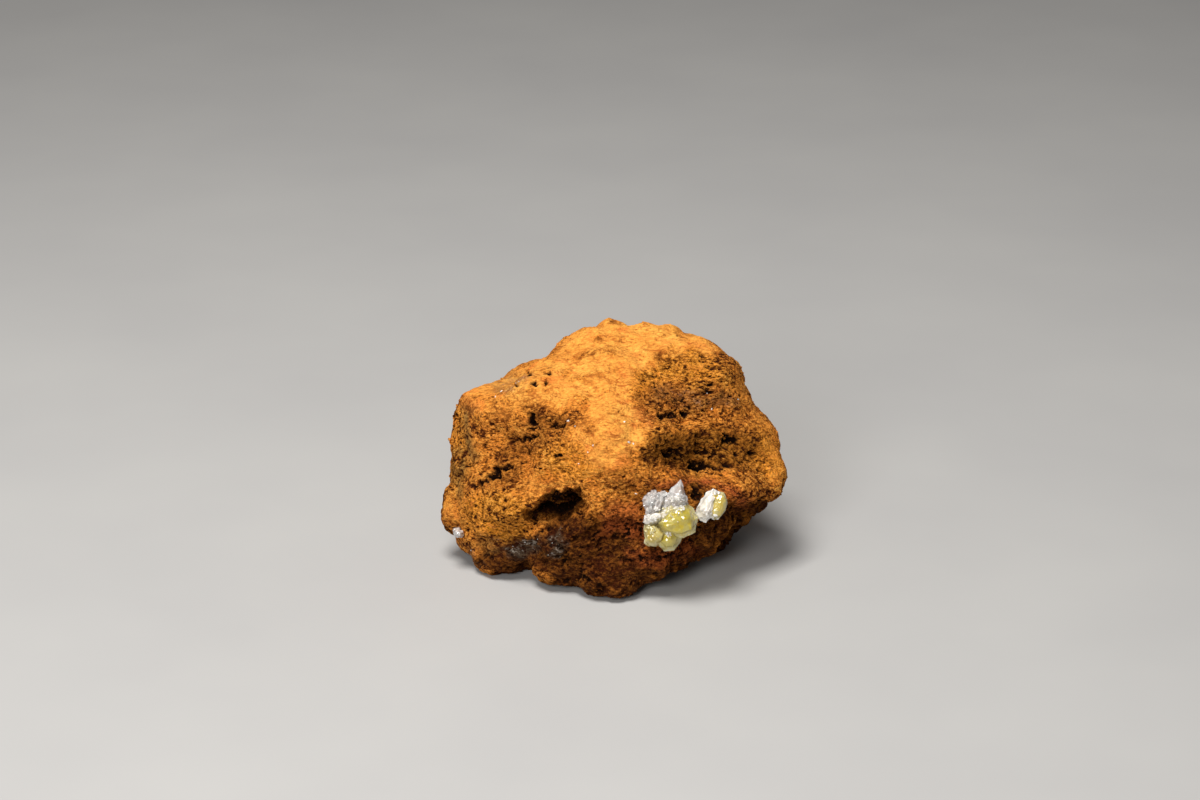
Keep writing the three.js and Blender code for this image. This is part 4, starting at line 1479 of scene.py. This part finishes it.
def limonite_material():
    """Rust, powder, stain, film and painted shade of pores mixed by the zones and fine noise."""
    material, tree, shader = new_material("limonite_earthy")
    laid = stretched_place(tree, object_place(tree), LAID_STRETCH)
    tone = noise(tree, laid, 1.7, 5, 0.65)
    crumb = noise(tree, laid, 0.31, 4, 0.70, 0.4)
    speck = noise(tree, laid, 0.17, 2, 0.6)
    powder_share, dark_and_shade_share = attribute(tree, "powder"), attribute(tree, "dark")
    rough = stretched(tree, powder_share, 0.1, 0.9, 1, 0)
    stands = maths(tree, "ADD", crumb, maths(tree, "MULTIPLY", attribute(tree, "crest"), 0.3))

    colour = rust_colours(tree, tone, stands, dark_and_shade_share)
    dust_share = dusting(tree, stands, powder_share, dark_and_shade_share)
    colour = mixed(tree, dust_share, colour, powder_colours(tree, laid, crumb))
    colour, film_share = stained(tree, colour, laid, tone)
    colour = with_pore_shade(tree, colour, tone, crumb, speck, stands, rough, powder_share)
    shade = mixed(tree, stretched(tree, speck, 0.36, 0.64), *GRAIN_SHADES)
    colour = mixed(tree, stretched(tree, rough, 0, 1, 0.5, 0.9), colour, shade, "MULTIPLY")
    tree.links.new(colour, shader.inputs["Base Color"])

    matt = stretched(tree, film_share, 0, 1, EARTH_ROUGHNESS, FILM_ROUGHNESS)
    tree.links.new(matt, shader.inputs["Roughness"])
    bumps = maths(tree, "ADD", crumb, maths(tree, "MULTIPLY", speck, 0.3))
    strength = stretched(tree, rough, 0, 1, 0.5, 1)
    put_bump(tree, shader, Height=bumps, Distance=BUMP_HEIGHT, Strength=strength)
    shader.inputs["Specular IOR Level"].default_value = EARTH_GLOSS
    return material


limonite = limonite_material()
print("limonite material: %d nodes" % len(limonite.node_tree.nodes))
rock.data.materials.append(limonite)
grit.data.materials.append(limonite)
dust.data.materials.append(limonite)

# %% [markdown]
# Crystal finishes. Clear mineral is see-through: light bends strongly in adamite, whose index
# is about 1.74, and a yellow crystal takes blue out of the light that crosses it. That is what a
# volume absorption does. Veils and cracks inside scatter light, and drawn one by one they would
# be far too many, so a part of the surface is left opaque and pale: much of it on milky parts,
# less on clear, yellow and straw-coloured ones.

# %% Four finishes
ADAMITE_IOR = 1.74
FINISHES = {
    "clear": dict(deep=(0.92, 0.83, 0.77, 1), pale=(1.0, 0.99, 0.97, 1), rim=(1.0, 1.0, 1.0, 1),
                  through=0.5, take=(0.98, 0.98, 0.97, 1), density=20.0, rough=0.02,
                  cell=0.45, tilt=0.7),
    "milky": dict(deep=(0.95, 0.86, 0.74, 1), pale=(1.0, 0.96, 0.88, 1), rim=(1.0, 1.0, 0.96, 1),
                  through=0.2, take=(0.98, 0.97, 0.94, 1), density=20.0, rough=0.05,
                  cell=0.35, tilt=0.6),
    "yellow": dict(deep=(0.88, 0.68, 0.06, 1), pale=(1.0, 0.87, 0.22, 1), rim=(1.0, 0.98, 0.68, 1),
                   through=0.5, take=(0.97, 0.92, 0.30, 1), density=150.0, rough=0.06,
                   cell=0.4, tilt=0.45),
    "straw": dict(deep=(0.86, 0.64, 0.12, 1), pale=(1.0, 0.88, 0.36, 1), rim=(1.0, 0.98, 0.70, 1),
                  through=0.48, take=(0.97, 0.92, 0.40, 1), density=150.0, rough=0.04,
                  cell=0.5, tilt=0.4),
}
print("see-through shares:", {look: finish["through"] for look, finish in FINISHES.items()})

# %% [markdown]
# Flashing facets. Broken crystal flashes where a small plane happens to mirror a lamp. Cutting
# all such planes into the mesh would take millions of faces, so the normals lean a random way in
# every cell of a Voronoi pattern instead, over the facets that the mesh already has. Each cell's
# random number also makes its colour paler or deeper, a painted reflection from inside.

# %% Crystal materials
def tilted(tree, place, cell, tilt):
    """Normals that lean a random way in every cell, so that facets flash one by one."""
    cells = add(tree, "ShaderNodeTexVoronoi", {"Vector": place, "Scale": 1 / (cell * MM)})
    colour = cells.outputs["Color"]
    lean = vector_maths(tree, "SUBTRACT", {0: colour, 1: (0.5, 0.5, 0.5)})
    lean = vector_maths(tree, "SCALE", {0: lean, "Scale": tilt})
    straight = add(tree, "ShaderNodeNewGeometry").outputs["Normal"]
    total = vector_maths(tree, "ADD", {0: straight, 1: lean})
    luck = add(tree, "ShaderNodeSeparateColor", {"Color": colour}).outputs[0]
    return vector_maths(tree, "NORMALIZE", {0: total}), luck


def crystal_material(name, deep, pale, rim, through, take, density, rough, cell, tilt):
    """Principled shader: fixed transmission and index, facets, veils, painted light, absorption."""
    material, tree, shader = new_material("adamite_" + name)
    place = object_place(tree)
    cloud = noise(tree, place, 0.9, 3, 0.6, 0.6)
    fine = noise(tree, place, 0.22, 3, 0.6)
    normal, luck = tilted(tree, place, cell, tilt)
    # Painted reflections: each facet cell's random number makes its colour paler or deeper.
    inside = maths(tree, "ADD", maths(tree, "MULTIPLY", luck, 0.4), cloud)
    colour = mixed(tree, stretched(tree, inside, 0.5, 0.95), deep, pale)
    # Paler rims: partly frost, partly painted light in the thin, lit edges.
    patchy = stretched(tree, fine, 0.38, 0.6, 0.2, 0.9)
    frosted = maths(tree, "MULTIPLY", attribute(tree, "rim"), patchy)
    colour = mixed(tree, frosted, colour, rim)
    tree.links.new(colour, shader.inputs["Base Color"])
    uneven = stretched(tree, fine, 0.4, 0.75, rough * 0.5, rough * 2.5)
    tree.links.new(uneven, shader.inputs["Roughness"])
    put_bump(tree, shader, Height=fine, Strength=0.3, Distance=0.05 * MM, Normal=normal)
    shader.inputs["Transmission Weight"].default_value = through
    shader.inputs["IOR"].default_value = ADAMITE_IOR
    absorb = add(tree, "ShaderNodeVolumeAbsorption")
    absorb.inputs["Color"].default_value = take
    absorb.inputs["Density"].default_value = density
    tree.links.new(absorb.outputs[0], tree.nodes["Material Output"].inputs["Volume"])
    return material


crystal_materials = {look: crystal_material(look, **FINISHES[look]) for look in LOOKS}
crystal_group("adamite_crystals", CLUSTER, "adamite_cluster", 100)
crystal_group("adamite_side_crystals", SIDE_GROUP, "adamite_side_crystal", 500)
crystal_group("small_white_crystal", WHITE_CRYSTAL, "white_crystal", 900)

# %% [markdown]
# White specks. A few tiny crystals glint on the rock far from the cluster, and pale flakes lie
# in the grey films. They could be painted dots, but only a real facet glints. The glints are
# named places in the view with their sizes, and each is set on the skin point that the camera
# sees nearest to it. The flakes are picked at random where the film is strong.

# %% White specks
GLINTS = {
    "recess": (-3.2, -2.1, 0.11), "spine left": (-0.7, -4.5, 0.08),
    "left of crystals": (3.6, -9.4, 0.10),
    "spine": (2.4, -2.2, 0.09), "spine low": (2.9, -4.2, 0.12), "spine low two": (3.3, -4.4, 0.08),
    "bowl right": (13.8, 0.0, 0.09), "bowl": (10.7, 0.7, 0.08), "bowl low": (11.1, -0.9, 0.10),
    "slope": (-9.9, 0.8, 0.11), "slope two": (-8.9, 1.4, 0.09), "slope three": (-10.4, 0.4, 0.08),
    "middle": (-2.1, -6.4, 0.08), "middle two": (-1.2, -5.2, 0.07), "recess low": (-2.5, -2.6, 0.07),
}
FLAKE_COUNT = 18
FLAKE_SIZES = (0.03, 0.07)
STRONG_FILM = 0.5
TOO_FAR = 99.0


def white_specks():
    """Small prisms half sunk at the glints' places and at random film points."""
    random = np.random.default_rng(77)
    seen = picture(skin)
    marks = np.array(list(GLINTS.values()))
    hidden = TOO_FAR * (skin_normals[:, 2] < 0.2)
    nearest = [int((np.linalg.norm(seen - mark[:2], axis=1) + hidden).argmin()) for mark in marks]
    chance = np.clip(zones["film"] - STRONG_FILM, 0, 1) * (skin_normals[:, 2] > 0.1)
    flakes = random.choice(len(skin), FLAKE_COUNT, replace=False, p=chance / chance.sum())
    places = np.concatenate([skin[nearest], skin[flakes]])
    sizes = np.concatenate([marks[:, 2], random.uniform(*FLAKE_SIZES, FLAKE_COUNT)])
    points, faces = small_prisms(places, sizes, random)
    piece = make_piece("white_specks", upright(points), faces, False, {"rim": np.ones(len(points))})
    piece.data.materials.append(crystal_materials["milky"])
    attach(piece, "root")


white_specks()

# %% [markdown]
# The floor. The specimen lies on a pale plain surface that is part of the stage, not of the
# object. One square is enough, because it is flat, and a faint mottling keeps it from looking
# like a drawing.

# %% Floor
FLOOR_SIZE = 1.2
FLOOR_GREYS = ((0.46, 0.46, 0.46, 1), (0.49, 0.49, 0.485, 1))
FLOOR_ROUGHNESS = 0.8


def floor_material():
    """Pale matt grey with a faint mottling."""
    material, tree, shader = new_material("pale_floor")
    mottling = noise(tree, object_place(tree), 30, 3, 0.5)
    colour = mixed(tree, stretched(tree, mottling, 0.3, 0.7), *FLOOR_GREYS)
    tree.links.new(colour, shader.inputs["Base Color"])
    shader.inputs["Roughness"].default_value = FLOOR_ROUGHNESS
    return material


def make_floor():
    """A square on the resting plane, marked as stage."""
    half = FLOOR_SIZE / 2 / MM
    corners = np.array([(-half, -half, 0), (half, -half, 0), (half, half, 0), (-half, half, 0)])
    floor = make_piece("pale_floor", corners, np.array([[0, 1, 2, 3]]), False)
    floor.data.materials.append(floor_material())
    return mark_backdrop(floor)


make_floor()

# %% [markdown]
# Light. A key lamp hangs high above, a little to the front and left, and shows the top bright and
# the bowls dark. A fill from the front left opens the shadows, and a weak grey world does the
# rest. Large lamps would be softer, but these are small, so that grains throw crisp little
# shadows and crystal facets flash.

# %% Light
LIGHTS = {
    "key": dict(place=(-0.06, -0.08, 0.32), size=0.13, power=1.16, colour=(1.0, 0.97, 0.93)),
    "fill": dict(place=(-0.12, -0.34, 0.20), size=0.14, power=0.80, colour=(1.0, 0.98, 0.96)),
}
WORLD_GREY = (0.70, 0.67, 0.64, 1)
WORLD_STRENGTH = 0.14


def make_light(name, place, size, power, colour):
    """An area light at a place, turned to shine on the rock's middle."""
    light = bpy.data.lights.new(name, "AREA")
    light.energy, light.size, light.color = power, size, colour
    lamp = bpy.data.objects.new(name, light)
    bpy.context.scene.collection.objects.link(lamp)
    lamp.location = place
    toward = (Vector(MIDDLE * MM) - lamp.location).normalized()
    lamp.rotation_euler = toward.to_track_quat("-Z", "Y").to_euler()
    print("%s lamp: %.2f watts" % (name, power))


for name, light in LIGHTS.items():
    make_light(name, **light)
world = bpy.data.worlds.new("studio")
world.use_nodes = True
background = world.node_tree.nodes["Background"]
background.inputs["Color"].default_value = WORLD_GREY
background.inputs["Strength"].default_value = WORLD_STRENGTH
bpy.context.scene.world = world

# %% [markdown]
# The camera looks down by the lean, so the leaned frame is its picture plane. A long lens from a
# third of a metre away keeps the shape of the rock free of strong perspective.

# %% Camera
CAMERA_LENS = 100
CAMERA_SENSOR = 36
CAMERA_CLIP = (0.01, 10)

camera_data = bpy.data.cameras.new("camera")
camera_data.lens = CAMERA_LENS
camera_data.sensor_width = CAMERA_SENSOR
camera_data.clip_start, camera_data.clip_end = CAMERA_CLIP
camera = bpy.data.objects.new("camera", camera_data)
bpy.context.scene.collection.objects.link(camera)
eye = upright(np.array([[*VIEW_MIDDLE, CAMERA_DISTANCE]]))[0] * MM
camera.location = eye
camera.rotation_euler = (math.pi / 2 - LEAN, 0, 0)
bpy.context.scene.camera = camera
bpy.context.scene.view_settings.view_transform = "Standard"
print("camera at", eye.round(3))
